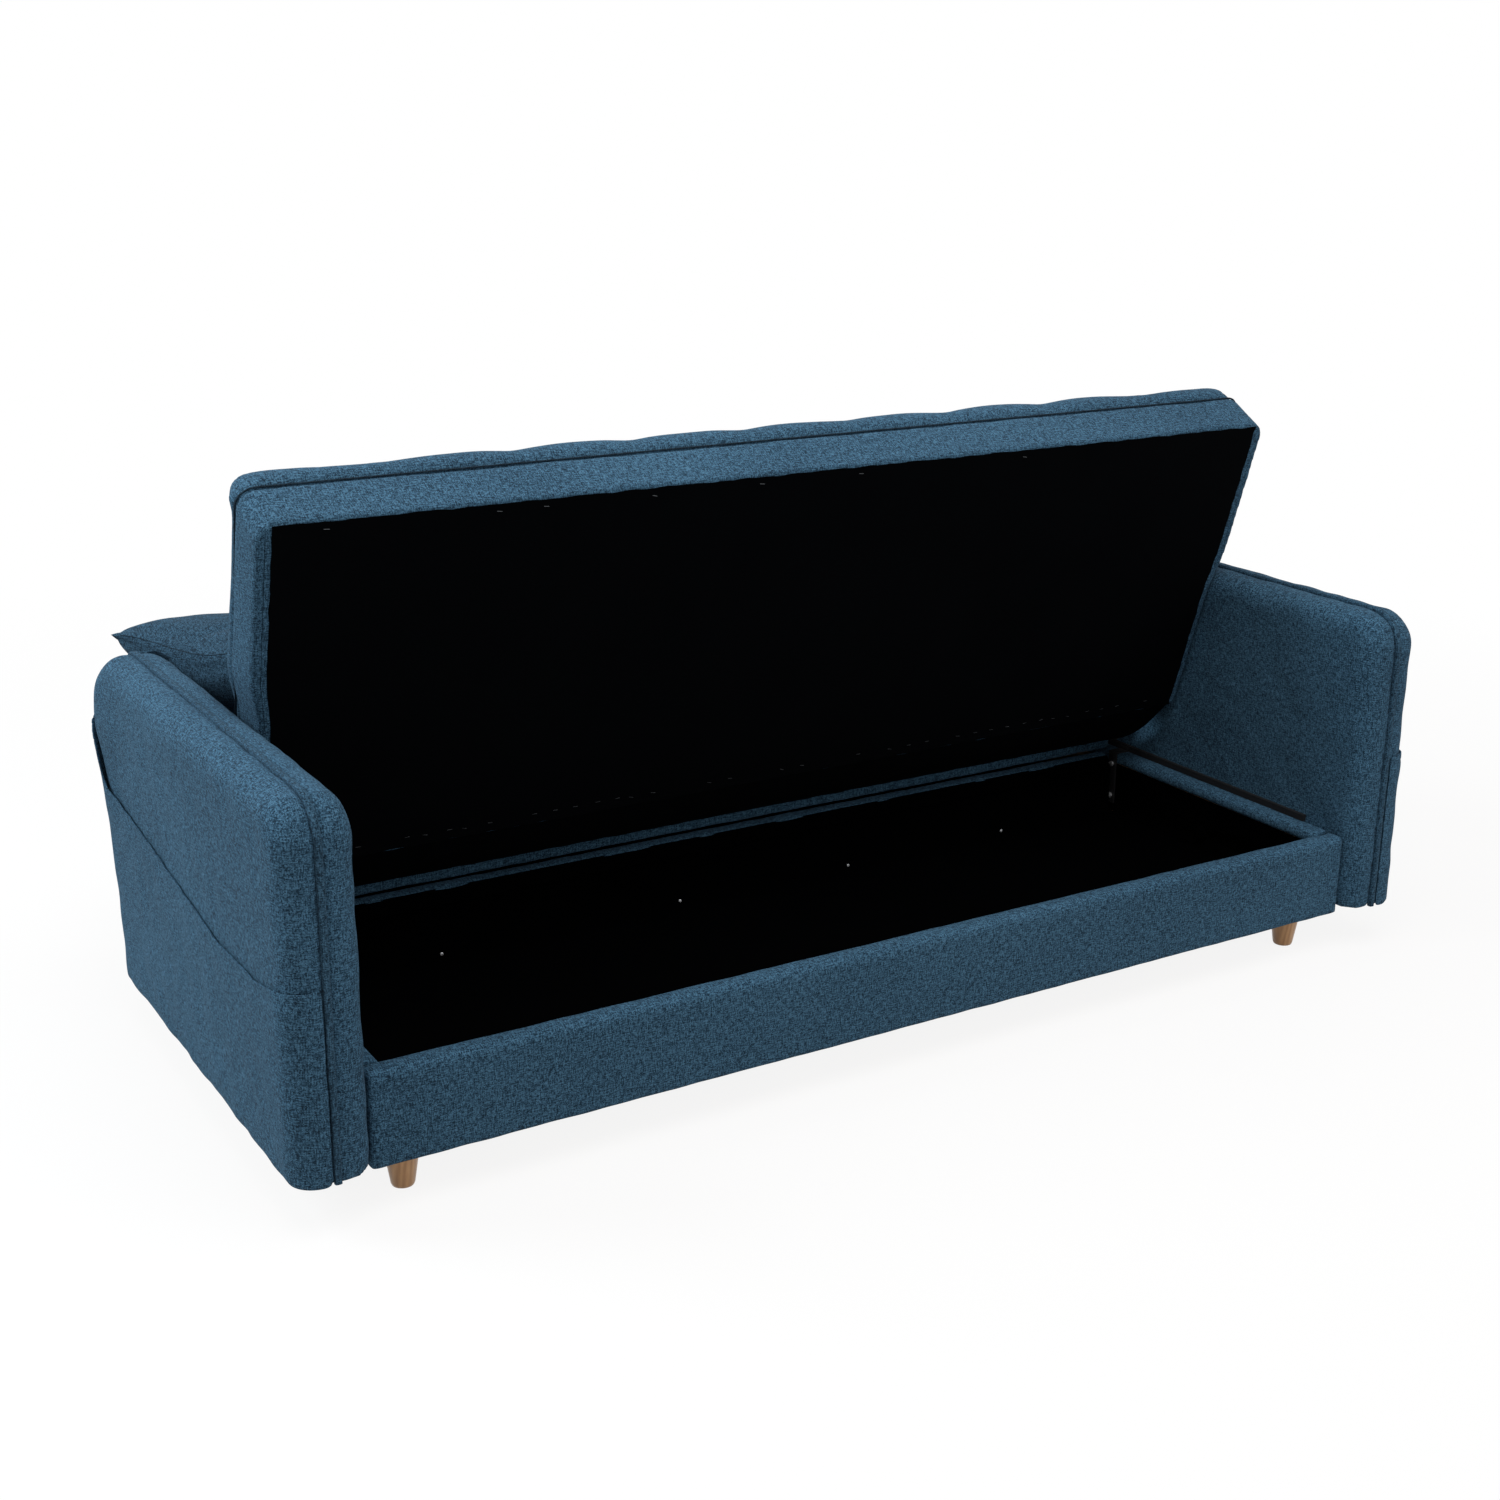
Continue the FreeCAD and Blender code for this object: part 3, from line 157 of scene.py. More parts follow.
def boxMapped(piece):
    # a UV map in metres, from the side that each face looks to
    mesh = piece.data
    layer = mesh.uv_layers.get("weave") or mesh.uv_layers.new(name="weave")
    for face in mesh.polygons:
        n = face.normal
        axis = max(range(3), key=lambda i: abs(n[i]))
        a, b = [(1, 2), (0, 2), (0, 1)][axis]
        for loop in face.loop_indices:
            p = mesh.vertices[mesh.loops[loop].vertex_index].co
            layer.data[loop].uv = (p[a], p[b])
    return piece


def dress(piece, material, body, replaced=()):
    piece.data.materials.clear()
    piece.data.materials.append(material)
    if body:
        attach(piece, body)
    if replaced:
        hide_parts(*replaced)
    return piece


# Materials

def clearTree(owner):
    # an empty node tree for a material or the world
    owner.use_nodes = True
    owner.node_tree.nodes.clear()
    return owner.node_tree


def newMaterial(name):
    material = bpy.data.materials.new(name)
    tree = clearTree(material)
    output = tree.nodes.new("ShaderNodeOutputMaterial")
    shader = tree.nodes.new("ShaderNodeBsdfPrincipled")
    tree.links.new(shader.outputs["BSDF"], output.inputs["Surface"])
    return material, tree, shader


def addNode(tree, kind, links=(), **settings):
    node = tree.nodes.new(kind)
    for key, value in settings.items():
        if key in node.inputs.keys():
            node.inputs[key].default_value = value
        else:
            setattr(node, key, value)
    for socket, source in links:
        tree.links.new(source, node.inputs[socket])
    return node


def mathNode(tree, operation, first, second=None, third=None):
    node = tree.nodes.new("ShaderNodeMath")
    node.operation = operation
    for index, value in enumerate((first, second, third)):
        if value is None:
            continue
        if isinstance(value, (int, float)):
            node.inputs[index].default_value = value
        else:
            tree.links.new(value, node.inputs[index])
    return node.outputs[0]


def rampNode(tree, source, stops):
    ramp = addNode(tree, "ShaderNodeValToRGB", [("Fac", source)])
    while len(ramp.color_ramp.elements) < len(stops):
        ramp.color_ramp.elements.new(0.5)
    for element, (position, colour) in zip(ramp.color_ramp.elements, stops):
        element.position = position
        element.color = (*colour, 1)
    return ramp.outputs["Color"]


def objectPlace(tree):
    return addNode(tree, "ShaderNodeTexCoord").outputs["Object"]


def noiseNode(tree, place, **settings):
    return addNode(tree, "ShaderNodeTexNoise", [("Vector", place)], **settings).outputs["Fac"]


def drawnOut(tree, place, scale):
    # makes a pattern longer in the ways where the scale is small
    return addNode(tree, "ShaderNodeMapping", [("Vector", place)], Scale=scale).outputs["Vector"]


def blendNode(tree, first, second, share):
    rest = mathNode(tree, "MULTIPLY", second, 1 - share)
    return mathNode(tree, "MULTIPLY_ADD", first, share, rest)


def chosenNode(tree, share, first, second):
    return addNode(tree, "ShaderNodeMix", [("Factor", share), ("A", first), ("B", second)],
                   data_type="FLOAT").outputs["Result"]


def reliefNode(tree, height, strength, distance, below=None):
    links = [("Height", height)] + ([("Normal", below)] if below else [])
    return addNode(tree, "ShaderNodeBump", links, Strength=strength, Distance=distance).outputs["Normal"]


def finishSurface(tree, shader, colour, relief, values):
    # gives the shader its colour, its relief, and the values that are the same all over
    tree.links.new(colour, shader.inputs["Base Color"])
    tree.links.new(relief, shader.inputs["Normal"])
    for socket, value in values.items():
        shader.inputs[socket].default_value = value


upholstery = {
    "threadPitch": 0.0018,
    "threadRound": 0.4,
    "dark": (0.0075, 0.024, 0.045),
    "middle": (0.0355, 0.098, 0.165),
    "light": (0.090, 0.215, 0.340),
    "steps": (0.41, 0.50, 0.60),
    "speckle": 330.0,
    "yarn": 528.0,
    "yarnLength": 0.16,
    "yarnShare": 0.55,
    "worn": 3.0,
    "wornShare": 0.08,
    "hollowShade": 0.75,
    "crownShade": 0.35,
    "weaveRelief": 0.6,
    "weaveDepth": 0.00045,
    "fuzzRelief": 0.35,
    "fuzzDepth": 0.0006,
    "finish": {"Roughness": 0.95, "Sheen Weight": 0.03, "Sheen Roughness": 0.5,
               "Sheen Tint": (0.45, 0.65, 0.85, 1), "Specular IOR Level": 0.2},
}


def weaveMaterial(name, tone=1.0, depth=1.0):
    # melange cloth: dark, middle and light yarns in a plain weave, with painted shade in the hollows between
    # the threads
    u = upholstery
    material, tree, shader = newMaterial(name)
    uv = addNode(tree, "ShaderNodeUVMap", uv_map="weave").outputs["UV"]
    split = addNode(tree, "ShaderNodeSeparateXYZ", [("Vector", uv)])
    threads = []
    counts = []
    for way in ("X", "Y"):
        count = mathNode(tree, "DIVIDE", split.outputs[way], u["threadPitch"])
        wave = mathNode(tree, "SINE", mathNode(tree, "MULTIPLY", count, math.pi))
        threads.append(mathNode(tree, "ABSOLUTE", wave))
        counts.append(mathNode(tree, "FLOOR", count))
    over = mathNode(tree, "PINGPONG", mathNode(tree, "ADD", *counts), 1.0)
    crowns = []
    for thread, other in (threads, threads[::-1]):
        rounded = mathNode(tree, "MULTIPLY_ADD", other, u["threadRound"], 1 - u["threadRound"])
        crowns.append(mathNode(tree, "MULTIPLY", thread, rounded))
    height = chosenNode(tree, over, *crowns)
    place = objectPlace(tree)
    speckle = noiseNode(tree, place, Scale=u["speckle"], Detail=2.0, Roughness=0.7)
    yarns = []
    for scale in ((1.0, u["yarnLength"], 1.0), (u["yarnLength"], 1.0, 1.0)):
        yarns.append(noiseNode(tree, drawnOut(tree, uv, scale), Scale=u["yarn"], Detail=1.0))
    blend = blendNode(tree, chosenNode(tree, over, *yarns), speckle, u["yarnShare"])
    worn = noiseNode(tree, place, Scale=u["worn"], Detail=3.0)
    blend = mathNode(tree, "MULTIPLY_ADD", mathNode(tree, "SUBTRACT", worn, 0.5), u["wornShare"], blend)
    tones = [[c * tone for c in u[shade]] for shade in ("dark", "middle", "light")]
    colour = rampNode(tree, blend, list(zip(u["steps"], tones)))
    # painted shade: the yarn colour is darkened in the weave's hollows and kept full on the threads' crowns
    shade = mathNode(tree, "MULTIPLY_ADD", height, u["crownShade"], u["hollowShade"])
    hollowShadedYarns = addNode(tree, "ShaderNodeMix", [("Factor", shade), ("B", colour)], data_type="RGBA",
                     A=(0, 0, 0, 1))
    relief = reliefNode(tree, height, u["weaveRelief"] * depth, u["weaveDepth"])
    relief = reliefNode(tree, speckle, u["fuzzRelief"], u["fuzzDepth"], relief)
    finishSurface(tree, shader, hollowShadedYarns.outputs["Result"], relief, u["finish"])
    return material


blackCloth = {
    "fibres": 900.0,
    "patches": 7.0,
    "fibreShare": 0.6,
    "dark": (0.4, 0.5, 0.7),
    "light": (0.8, 1.0, 1.3),
    "spots": 650.0,
    "spotRelief": 0.4,
    "spotDepth": 0.0003,
    "roughness": 0.95,
}


def blackClothMaterial(name, tone, shine):
    # pressed black non-woven cloth with a fine spot pattern
    b = blackCloth
    material, tree, shader = newMaterial(name)
    place = objectPlace(tree)
    fibres = noiseNode(tree, place, Scale=b["fibres"], Detail=3.0)
    patches = noiseNode(tree, place, Scale=b["patches"], Detail=4.0)
    stops = [(0.3, [tone * c for c in b["dark"]]), (0.7, [tone * c for c in b["light"]])]
    colour = rampNode(tree, blendNode(tree, fibres, patches, b["fibreShare"]), stops)
    spots = addNode(tree, "ShaderNodeTexVoronoi", [("Vector", place)], Scale=b["spots"]).outputs["Distance"]
    relief = reliefNode(tree, spots, b["spotRelief"], b["spotDepth"])
    finishSurface(tree, shader, colour, relief, {"Roughness": b["roughness"], "Specular IOR Level": shine})
    return material


lacquered = {
    "stretch": (1.0, 1.0, 0.08),
    "grain": 160.0,
    "rings": 38.0,
    "grainShare": 0.65,
    "stops": [(0.25, (0.46, 0.23, 0.085)), (0.55, (0.60, 0.325, 0.135)), (0.8, (0.70, 0.41, 0.18))],
    "relief": 0.15,
    "depth": 0.0003,
    "finish": {"Roughness": 0.38, "Coat Weight": 0.25, "Coat Roughness": 0.25},
}


def beechMaterial(name):
    # clear lacquered beech with upright grain and short flecks
    b = lacquered
    material, tree, shader = newMaterial(name)
    place = drawnOut(tree, objectPlace(tree), b["stretch"])
    grain = noiseNode(tree, place, Scale=b["grain"], Detail=6.0, Roughness=0.6)
    rings = addNode(tree, "ShaderNodeTexWave", [("Vector", place)], Scale=b["rings"], Distortion=6.0,
                    Detail=3.0).outputs["Fac"]
    colour = rampNode(tree, blendNode(tree, grain, rings, b["grainShare"]), b["stops"])
    relief = reliefNode(tree, grain, b["relief"], b["depth"])
    finishSurface(tree, shader, colour, relief, b["finish"])
    return material


rawBoard = {
    "stretch": (0.06, 1.0, 1.0),
    "grain": 120.0,
    "relief": 0.3,
    "depth": 0.0005,
    "roughness": 0.75,
}


def boardMaterial(name, light, dark):
    # raw softwood and chipboard
    b = rawBoard
    material, tree, shader = newMaterial(name)
    grain = noiseNode(tree, drawnOut(tree, objectPlace(tree), b["stretch"]), Scale=b["grain"], Detail=5.0)
    colour = rampNode(tree, grain, [(0.3, dark), (0.7, light)])
    relief = reliefNode(tree, grain, b["relief"], b["depth"])
    finishSurface(tree, shader, colour, relief, {"Roughness": b["roughness"]})
    return material


coated = {"shade": 0.7, "smoother": 0.8, "rougher": 1.25, "relief": 0.2, "depth": 0.0001}


def metalMaterial(name, colour, metallic, roughness, texture):
    # powder coat or zinc with a fine uneven surface
    material, tree, shader = newMaterial(name)
    grain = noiseNode(tree, objectPlace(tree), Scale=texture, Detail=3.0)
    shades = rampNode(tree, grain, [(0.3, [c * coated["shade"] for c in colour]), (0.7, colour)])
    rough = addNode(tree, "ShaderNodeMapRange", [("Value", grain)])
    rough.inputs["To Min"].default_value = roughness * coated["smoother"]
    rough.inputs["To Max"].default_value = min(1.0, roughness * coated["rougher"])
    tree.links.new(rough.outputs["Result"], shader.inputs["Roughness"])
    relief = reliefNode(tree, grain, coated["relief"], coated["depth"])
    finishSurface(tree, shader, shades, relief, {"Metallic": metallic})
    return material


print("stage: materials")
weave = weaveMaterial("blueMelange")
pipingWeave = weaveMaterial("blueMelangePiping", 0.75, 0.6)
# a darkened copy of the cloth: painted shadow for the seams' cords
seamShadowWeave = weaveMaterial("blueMelangeSeamShadow", 0.22, 0.6)
# the cushion's cloth is the same fabric, darkened to paint the shade that falls on the cushion
shadedCushionWeave = weaveMaterial("shadedCushionMelange", 0.66)
# a darkened copy of the cushion's cloth: painted shadow along the cushion's seam
cushionSeamShadowWeave = weaveMaterial("cushionSeamShadowMelange", 0.30)
liningCloth = blackClothMaterial("boxLining", 0.0006, 0.01)
panelCloth = blackClothMaterial("panelCloth", 0.0020, 0.02)
beech = beechMaterial("legBeech")
softwood = boardMaterial("frameSoftwood", (0.52, 0.36, 0.20), (0.36, 0.22, 0.11))
blackSteel = metalMaterial("blackSteel", (0.005, 0.005, 0.006), 0.0, 0.6, 700.0)
zincSteel = metalMaterial("zincSteel", (0.72, 0.74, 0.77), 0.7, 0.5, 300.0)
stapleWire = metalMaterial("stapleWire", (0.16, 0.17, 0.18), 1.0, 0.5, 300.0)
nylon = metalMaterial("blackNylon", (0.03, 0.03, 0.032), 0.0, 0.5, 900.0)

slotMaterials = {
    "upholstery": weave, "piping": pipingWeave, "black_cloth": panelCloth, "leg_wood": beech,
    "frame_wood": softwood, "nylon": nylon, "zinc_steel": zincSteel, "black_steel": blackSteel,
}


stripScrews = {"beyond": 0.938, "above": 0.215}


def darkenStripScrews(piece):
    # the running strips' screws are black, above the rails and out on the arms' faces
    piece.data.materials.append(blackSteel)
    for face in piece.data.polygons:
        if abs(face.center.x) > stripScrews["beyond"] and face.center.z > stripScrews["above"]:
            face.material_index = 1


def finishFrameNodes():
    slots = {s["node"]: s["material_slot"] for s in frame["record"]["subparts"]}
    for name, node in nodes.items():
        node.data.materials.clear()
        node.data.materials.append(slotMaterials[slots[name]])
    darkenStripScrews(nodes["base_fasteners"])


finishFrameNodes()


# Places, in metres: depth runs from the arms' rear towards the seat's front

plan = {
    "middle": 0.5935,
    "pivotDepth": 0.613,
    "pivotHeight": 0.383,
    "swing": math.radians(73.8),
    "armMiddle": 1.0075,
}


def at(x, depth, z):
    return Vector((x, plan["middle"] - depth, z))


def depthOf(point):
    return plan["middle"] - point.y


def swung(point, turn=1.0):
    # from the back lying flat to the photographed tilt, or the other way with turn -1
    pivot = at(0, plan["pivotDepth"], plan["pivotHeight"])
    return Matrix.Rotation(turn * plan["swing"], 4, "X") @ (point - pivot) + pivot


def laidFlat(point):
    # across, depth and height of a point of the back when it lies flat
    flat = swung(point, -1.0)
    return flat.x, depthOf(flat), flat.z


def eased(value):
    # rises smoothly from 0 to 1 as the value does
    t = max(0.0, min(1.0, value))
    return t * t * (3 - 2 * t)


# Soft pieces

fabric = {
    "voxelPad": 0.009,
    "voxelArm": 0.0062,
    "voxelThin": 0.0055,
    "voxelRail": 0.004,
    "bumpScale": 22.0,
    "fill": 0.9,
    "padPressure": 4.0,
    "channelPitch": 0.2067,
    "grooves": 8,
    "grooveShare": 0.6,
    "padUnderside": 0.324,
    "sheet": 0.0007,
}


def grooveLines():
    first = -(fabric["grooves"] - 1) / 2
    return [(first + i) * fabric["channelPitch"] for i in range(fabric["grooves"])]


def clothSwell(piece, pressure, frames, held, capOf):
    # lets the cover swell like a stuffed bag, within a cap, then keeps the shape
    rest = [v.co.copy() for v in piece.data.vertices]
    group = piece.vertex_groups.new(name="held")
    group.add(held, 1.0, "REPLACE")
    pickObject(piece)
    cloth = piece.modifiers.new("Cloth", "CLOTH")
    cloth.settings.quality = 4
    cloth.settings.mass = 0.35
    cloth.settings.tension_stiffness = 12
    cloth.settings.compression_stiffness = 12
    cloth.settings.shear_stiffness = 4
    cloth.settings.bending_stiffness = 0.6
    cloth.settings.use_pressure = True
    cloth.settings.uniform_pressure_force = pressure
    cloth.settings.effector_weights.gravity = 0.0
    cloth.settings.vertex_group_mass = "held"
    cloth.point_cache.frame_start = 1
    cloth.point_cache.frame_end = frames
    scene = bpy.context.scene
    for step in range(1, frames + 1):
        scene.frame_set(step)
    bpy.ops.object.modifier_apply(modifier=cloth.name)
    scene.frame_set(1)
    for v, start in zip(piece.data.vertices, rest):
        move = v.co - start
        cap = capOf(start)
        if move.length > cap:
            v.co = start + move.normalized() * cap
    piece.data.update()
    return piece


pads = {
    "frames": 14,
    "face": 0.010,
    "end": 0.0025,
    "hinge": 0.0008,
    "reach": 0.07,
    "faceFrom": 0.33,
    "faceOver": 0.05,
    "side": 0.9485,
    "rumpleScale": 14.0,
    "rumple": 0.0016,
    "seam": 0.3193,
    "crest": 0.070,
    "wasRound": 0.045,
    "round": 0.028,
    "roundFrom": 0.003,
    "cornerFrom": 0.875,
    "cornerOver": 0.055,
    "cornerReach": 0.060,
}


def padCap(depth, height, nearEnd, farEnd):
    # how far the cover may swell, least at the hinge and at the outer end
    hinge = eased(abs(depth - nearEnd) / pads["reach"])
    outer = eased(abs(farEnd - depth) / pads["reach"])
    face = eased((height - pads["faceFrom"]) / pads["faceOver"])
    return pads["hinge"] + (pads["end"] + (pads["face"] - pads["end"]) * outer * face) * hinge


def squaredSide(across, height, half):
    # moves the rounding over a pad's side to a tighter one
    was = pads["wasRound"]
    now = pads["round"]
    start = half - was
    if across < start or height < pads["seam"]:
        return across
    up = min(height - pads["seam"], pads["crest"])
    bend = max(0.0, up - (pads["crest"] - was)) / was
    outline = was * math.sqrt(max(0.0, 1 - bend * bend))
    tight = max(0.0, up - (pads["crest"] - now)) / now
    aim = was - now + now * math.sqrt(max(0.0, 1 - tight * tight))
    share = min(1.0, (across - start + pads["roundFrom"]) / (outline + pads["roundFrom"]))
    return across + (aim - outline) * share


def makePad(node, name, place, ends, half, cornerOut):
    # place gives across, depth and height of a point with the unit lying flat
    piece = copyOfNode(node, name)
    remeshed(piece, fabric["voxelPad"])
    softened(piece, 0.5, 3)
    lines = grooveLines()
    held = []
    for v in piece.data.vertices:
        x, depth, height = place(v.co)
        inGroove = min(abs(x - line) for line in lines) < fabric["voxelPad"] * fabric["grooveShare"]
        if inGroove or height < fabric["padUnderside"]:
            held.append(v.index)

    def capOf(point):
        depth, height = place(point)[1:]
        return padCap(depth, height, *ends)

    clothSwell(piece, fabric["padPressure"], pads["frames"], held, capOf)
    for v in piece.data.vertices:
        x, depth, height = place(v.co)
        across = squaredSide(abs(x), height, half)
        outer = eased((across - pads["cornerFrom"]) / pads["cornerOver"])
        across += cornerOut * outer * eased(1 - abs(ends[1] - depth) / pads["cornerReach"])
        v.co.x = math.copysign(across, x)
    softened(piece, 0.5, 5)
    rumpled(piece, pads["rumpleScale"], pads["rumple"], len(name))
    for v in piece.data.vertices:
        v.co.x = max(-pads["side"], min(pads["side"], v.co.x))
    smoothShaded(piece)
    return piece


def plainPlace(point):
    return point.x, depthOf(point), point.z


covers = {
    # frame node, body, voxel, rounds of smoothing, unevenness, seed
    "backBorder": ("back_border", "back", fabric["voxelThin"], 3, 0.0012, 1),
    "seatBorder": ("seat_border", "seat", fabric["voxelThin"], 3, 0.0010, 1),
    "rearRailCover": ("rear_rail_cover", "base", 0.0048, 3, 0.0010, 1),
    "crossRailCover": ("cross_rail_cover", "base", fabric["voxelRail"], 2, 0.0010, 1),
    "seatFascia": ("seat_fascia", "seat", 0.006, 3, 0.0010, 1),
    "sideRailCover": ("side_rail_cover", "base", fabric["voxelRail"], 2, 0.0006, 1),
    "armInner": ("arm_inner_pad", "base", fabric["voxelArm"], 3, 0.0022, 1),
    "armOuter": ("arm_outer_pad", "base", fabric["voxelArm"], 3, 0.0022, 4),
}


def makeCovered(kind, side=None):
    # a padded cover over its frame node, on one side of the object if a side is given
    node, body, voxel, rounds, bumps, seed = covers[kind]
    name = kind + "." + side if side else kind
    node = node + "_" + side if side else node
    piece = copyOfNode(node, name)
    remeshed(piece, voxel)
    softened(piece, 0.5, rounds)
    rumpled(piece, fabric["bumpScale"], bumps, len(name) + seed)
    smoothShaded(piece)
    boxMapped(piece)
    return dress(piece, weave, body, [node])


backFlare = {
    "out": 0.015,
    "from": 0.600,
    "over": 0.10,
    "sideFrom": 0.80,
    "sideOver": 0.148,
    "keep": 0.980,
    "clothShare": 0.6,
}


def flareBack(piece, share=1.0):
    # above the arms the back swells past the width between them
    for v in piece.data.vertices:
        rise = eased((v.co.z - backFlare["from"]) / backFlare["over"])
        side = eased((abs(v.co.x) - backFlare["sideFrom"]) / backFlare["sideOver"])
        v.co.x += math.copysign(backFlare["out"] * share * rise * side, v.co.x)
    piece.data.update()


def pressedBetweenArms(piece):
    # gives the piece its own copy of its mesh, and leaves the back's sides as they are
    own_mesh(piece)


print("stage: pads")
backPad = makePad("back_cushion", "backPad", laidFlat, ends=(0.600, -0.034), half=0.948, cornerOut=0.014)
flareBack(backPad)
boxMapped(backPad)
dress(backPad, weave, "back", ["back_cushion"])
pressedBetweenArms(backPad)
seatPad = makePad("seat_cushion", "seatPad", plainPlace, ends=(0.612, 1.221), half=0.930, cornerOut=0.0)
boxMapped(seatPad)
dress(seatPad, weave, "seat", ["seat_cushion"])

print("stage: borders")
backBorder = makeCovered("backBorder")
flareBack(backBorder)
pressedBetweenArms(backBorder)
seatBorder = makeCovered("seatBorder")

hem = {"low": 0.2335, "reach": 0.03, "drop": 0.0084, "depth": 0.66, "over": 0.03}


def lowerHem(piece):
    # the seat's rear fabric is drawn down a little below its frame
    for v in piece.data.vertices:
        near = eased((v.co.y - (plan["middle"] - hem["depth"])) / hem["over"])
        share = max(0.0, 1 - (v.co.z - hem["low"]) / hem["reach"])
        v.co.z -= hem["drop"] * min(1.0, share) * near
    piece.data.update()


lowerHem(seatBorder)

print("stage: rails and arms")
crossRail = {"fullFrom": 0.202, "fullOver": 0.016, "full": 0.003}


def fullerTop(piece):
    # the cross rail's wadding stands up a little at its top
    for v in piece.data.vertices:
        v.co.z += crossRail["full"] * eased((v.co.z - crossRail["fullFrom"]) / crossRail["fullOver"])
    piece.data.update()


makeCovered("rearRailCover")
fullerTop(makeCovered("crossRailCover"))
makeCovered("seatFascia")

arm = {
    "rear": -0.025,
    "rearFoot": 0.081,
    "front": 0.907,
    "frontFoot": (0.8426, 0.085),
    "top": 0.636,
    "rearRadius": 0.065,
    "frontRadius": 0.085,
    "middle": (0.44, 0.30),
    "innerFace": 0.9496,
}


def keepClearOf(piece, limit):
    # the inner face stays outside the width between the arms
    for v in piece.data.vertices:
        if abs(v.co.x) < limit:
            v.co.x = math.copysign(limit, v.co.x)
    piece.data.update()


bulge = {"out": 0.010, "depth": 0.84, "height": 0.53, "reach": 0.12, "rise": 0.10, "sideOver": 0.04}


def bulgedArm(piece):
    # the outer pad swells a little at the top of its front
    for v in piece.data.vertices:
        along = (depthOf(v.co) - bulge["depth"]) / bulge["reach"]
        up = (v.co.z - bulge["height"]) / bulge["rise"]
        near = eased(1 - math.hypot(along, up))
        side = eased((abs(v.co.x) - plan["armMiddle"]) / bulge["sideOver"])
        v.co.x += math.copysign(bulge["out"] * near * side, v.co.x)
    piece.data.update()


for side in sides:
    makeCovered("sideRailCover", side)
    keepClearOf(makeCovered("armInner", side), arm["innerFace"])
    bulgedArm(makeCovered("armOuter", side))


def roundedPath(corners, radii, step):
    # points along a line through the corners, rounded at each of them
    points = [corners[0].copy()]
    for i in range(1, len(corners) - 1):
        before = (corners[i - 1] - corners[i]).normalized()
        after = (corners[i + 1] - corners[i]).normalized()
        half = before.angle(after) / 2
        back = radii[i] / math.tan(half)
        bisector = (before + after).normalized()
        centre = corners[i] + bisector * (radii[i] / math.sin(half))
        start = corners[i] + before * back
        end = corners[i] + after * back
        count = max(3, int(radii[i] * (math.pi - 2 * half) / step))
        a = start - centre
        turn = a.rotation_difference(end - centre)
        for k in range(count + 1):
            bit = Matrix.Rotation(turn.angle * k / count, 4, turn.axis)
            points.append(centre + bit @ a)
    points.append(corners[-1].copy())
    even = [points[0]]
    for a, b in zip(points, points[1:]):
        parts = max(1, int(round((b - a).length / step)))
        even += [a.lerp(b, k / parts) for k in range(1, parts + 1)]
    return even


def sweptBand(name, points, outward, profile):
    # a closed ring of (across, out) pairs carried along the points
    mesh = bmesh.new()
    rings = []
    last = len(points) - 1
    for i, point in enumerate(points):
        along = (points[min(i + 1, last)] - points[max(i - 1, 0)]).normalized()
        across = outward[i].cross(along).normalized()
        out = along.cross(across)
        rings.append([mesh.verts.new(point + across * a + out * b) for a, b in profile])
    size = len(profile)
    for low, high in zip(rings, rings[1:]):
        for k in range(size):
            mesh.faces.new((low[k], low[(k + 1) % size], high[(k + 1) % size], high[k]))
    mesh.faces.new(rings[0])
    mesh.faces.new(rings[-1])
    bmesh.ops.recalc_face_normals(mesh, faces=mesh.faces)
    return pieceOfMesh(name, mesh)


welt = {
    "halfWidth": 0.0055,
    "halfHeight": 0.0052,
    "sink": 0.0005,
    "wander": 0.0008,
    "wanderScale": 9.0,
    "crinkleScale": 31.0,
    "step": 0.006,
    "sides": 14,
    "squareness": 0.62,
}


def bandProfile(halfWidth, halfHeight, count, power):
    ring = []
    for k in range(count):
        turn = 2 * math.pi * k / count
        c = math.cos(turn)
        s = math.sin(turn)
        across = math.copysign(halfWidth * abs(c) ** power, c)
        ring.append((across, math.copysign(halfHeight * abs(s) ** power, s)))
    return ring


def armOutlinePath(grow):
    foot, footHeight = arm["frontFoot"]
    corners = [
        at(0, arm["rear"] - grow, arm["rearFoot"]),
        at(0, arm["rear"] - grow, arm["top"] + grow),
        at(0, arm["front"] + grow, arm["top"] + grow),
        at(0, foot + grow, footHeight),
    ]
    radii = [0, arm["rearRadius"] + grow, arm["frontRadius"] + grow, 0]
    return roundedPath(corners, radii, welt["step"])


def makeWelt(side, way):
    points = armOutlinePath(-welt["sink"])
    middle = at(0, *arm["middle"])
    outward = []
    for i, p in enumerate(points):
        along = (points[min(i + 1, len(points) - 1)] - points[max(i - 1, 0)]).normalized()
        out = Vector((1, 0, 0)).cross(along)
        outward.append(out if out.dot(p - middle) > 0 else -out)
    for i, p in enumerate(points):
        p.x = way * plan["armMiddle"] + welt["wander"] * noise.noise(p * welt["wanderScale"])
        points[i] = p + outward[i] * 0.5 * welt["wander"] * noise.noise(p * welt["crinkleScale"])
    profile = bandProfile(welt["halfWidth"], welt["halfHeight"], welt["sides"], welt["squareness"])
    piece = sweptBand("armWelt." + side, points, outward, profile)
    smoothShaded(piece)
    boxMapped(piece)
    return dress(piece, pipingWeave, "base", ["arm_welt_" + side])


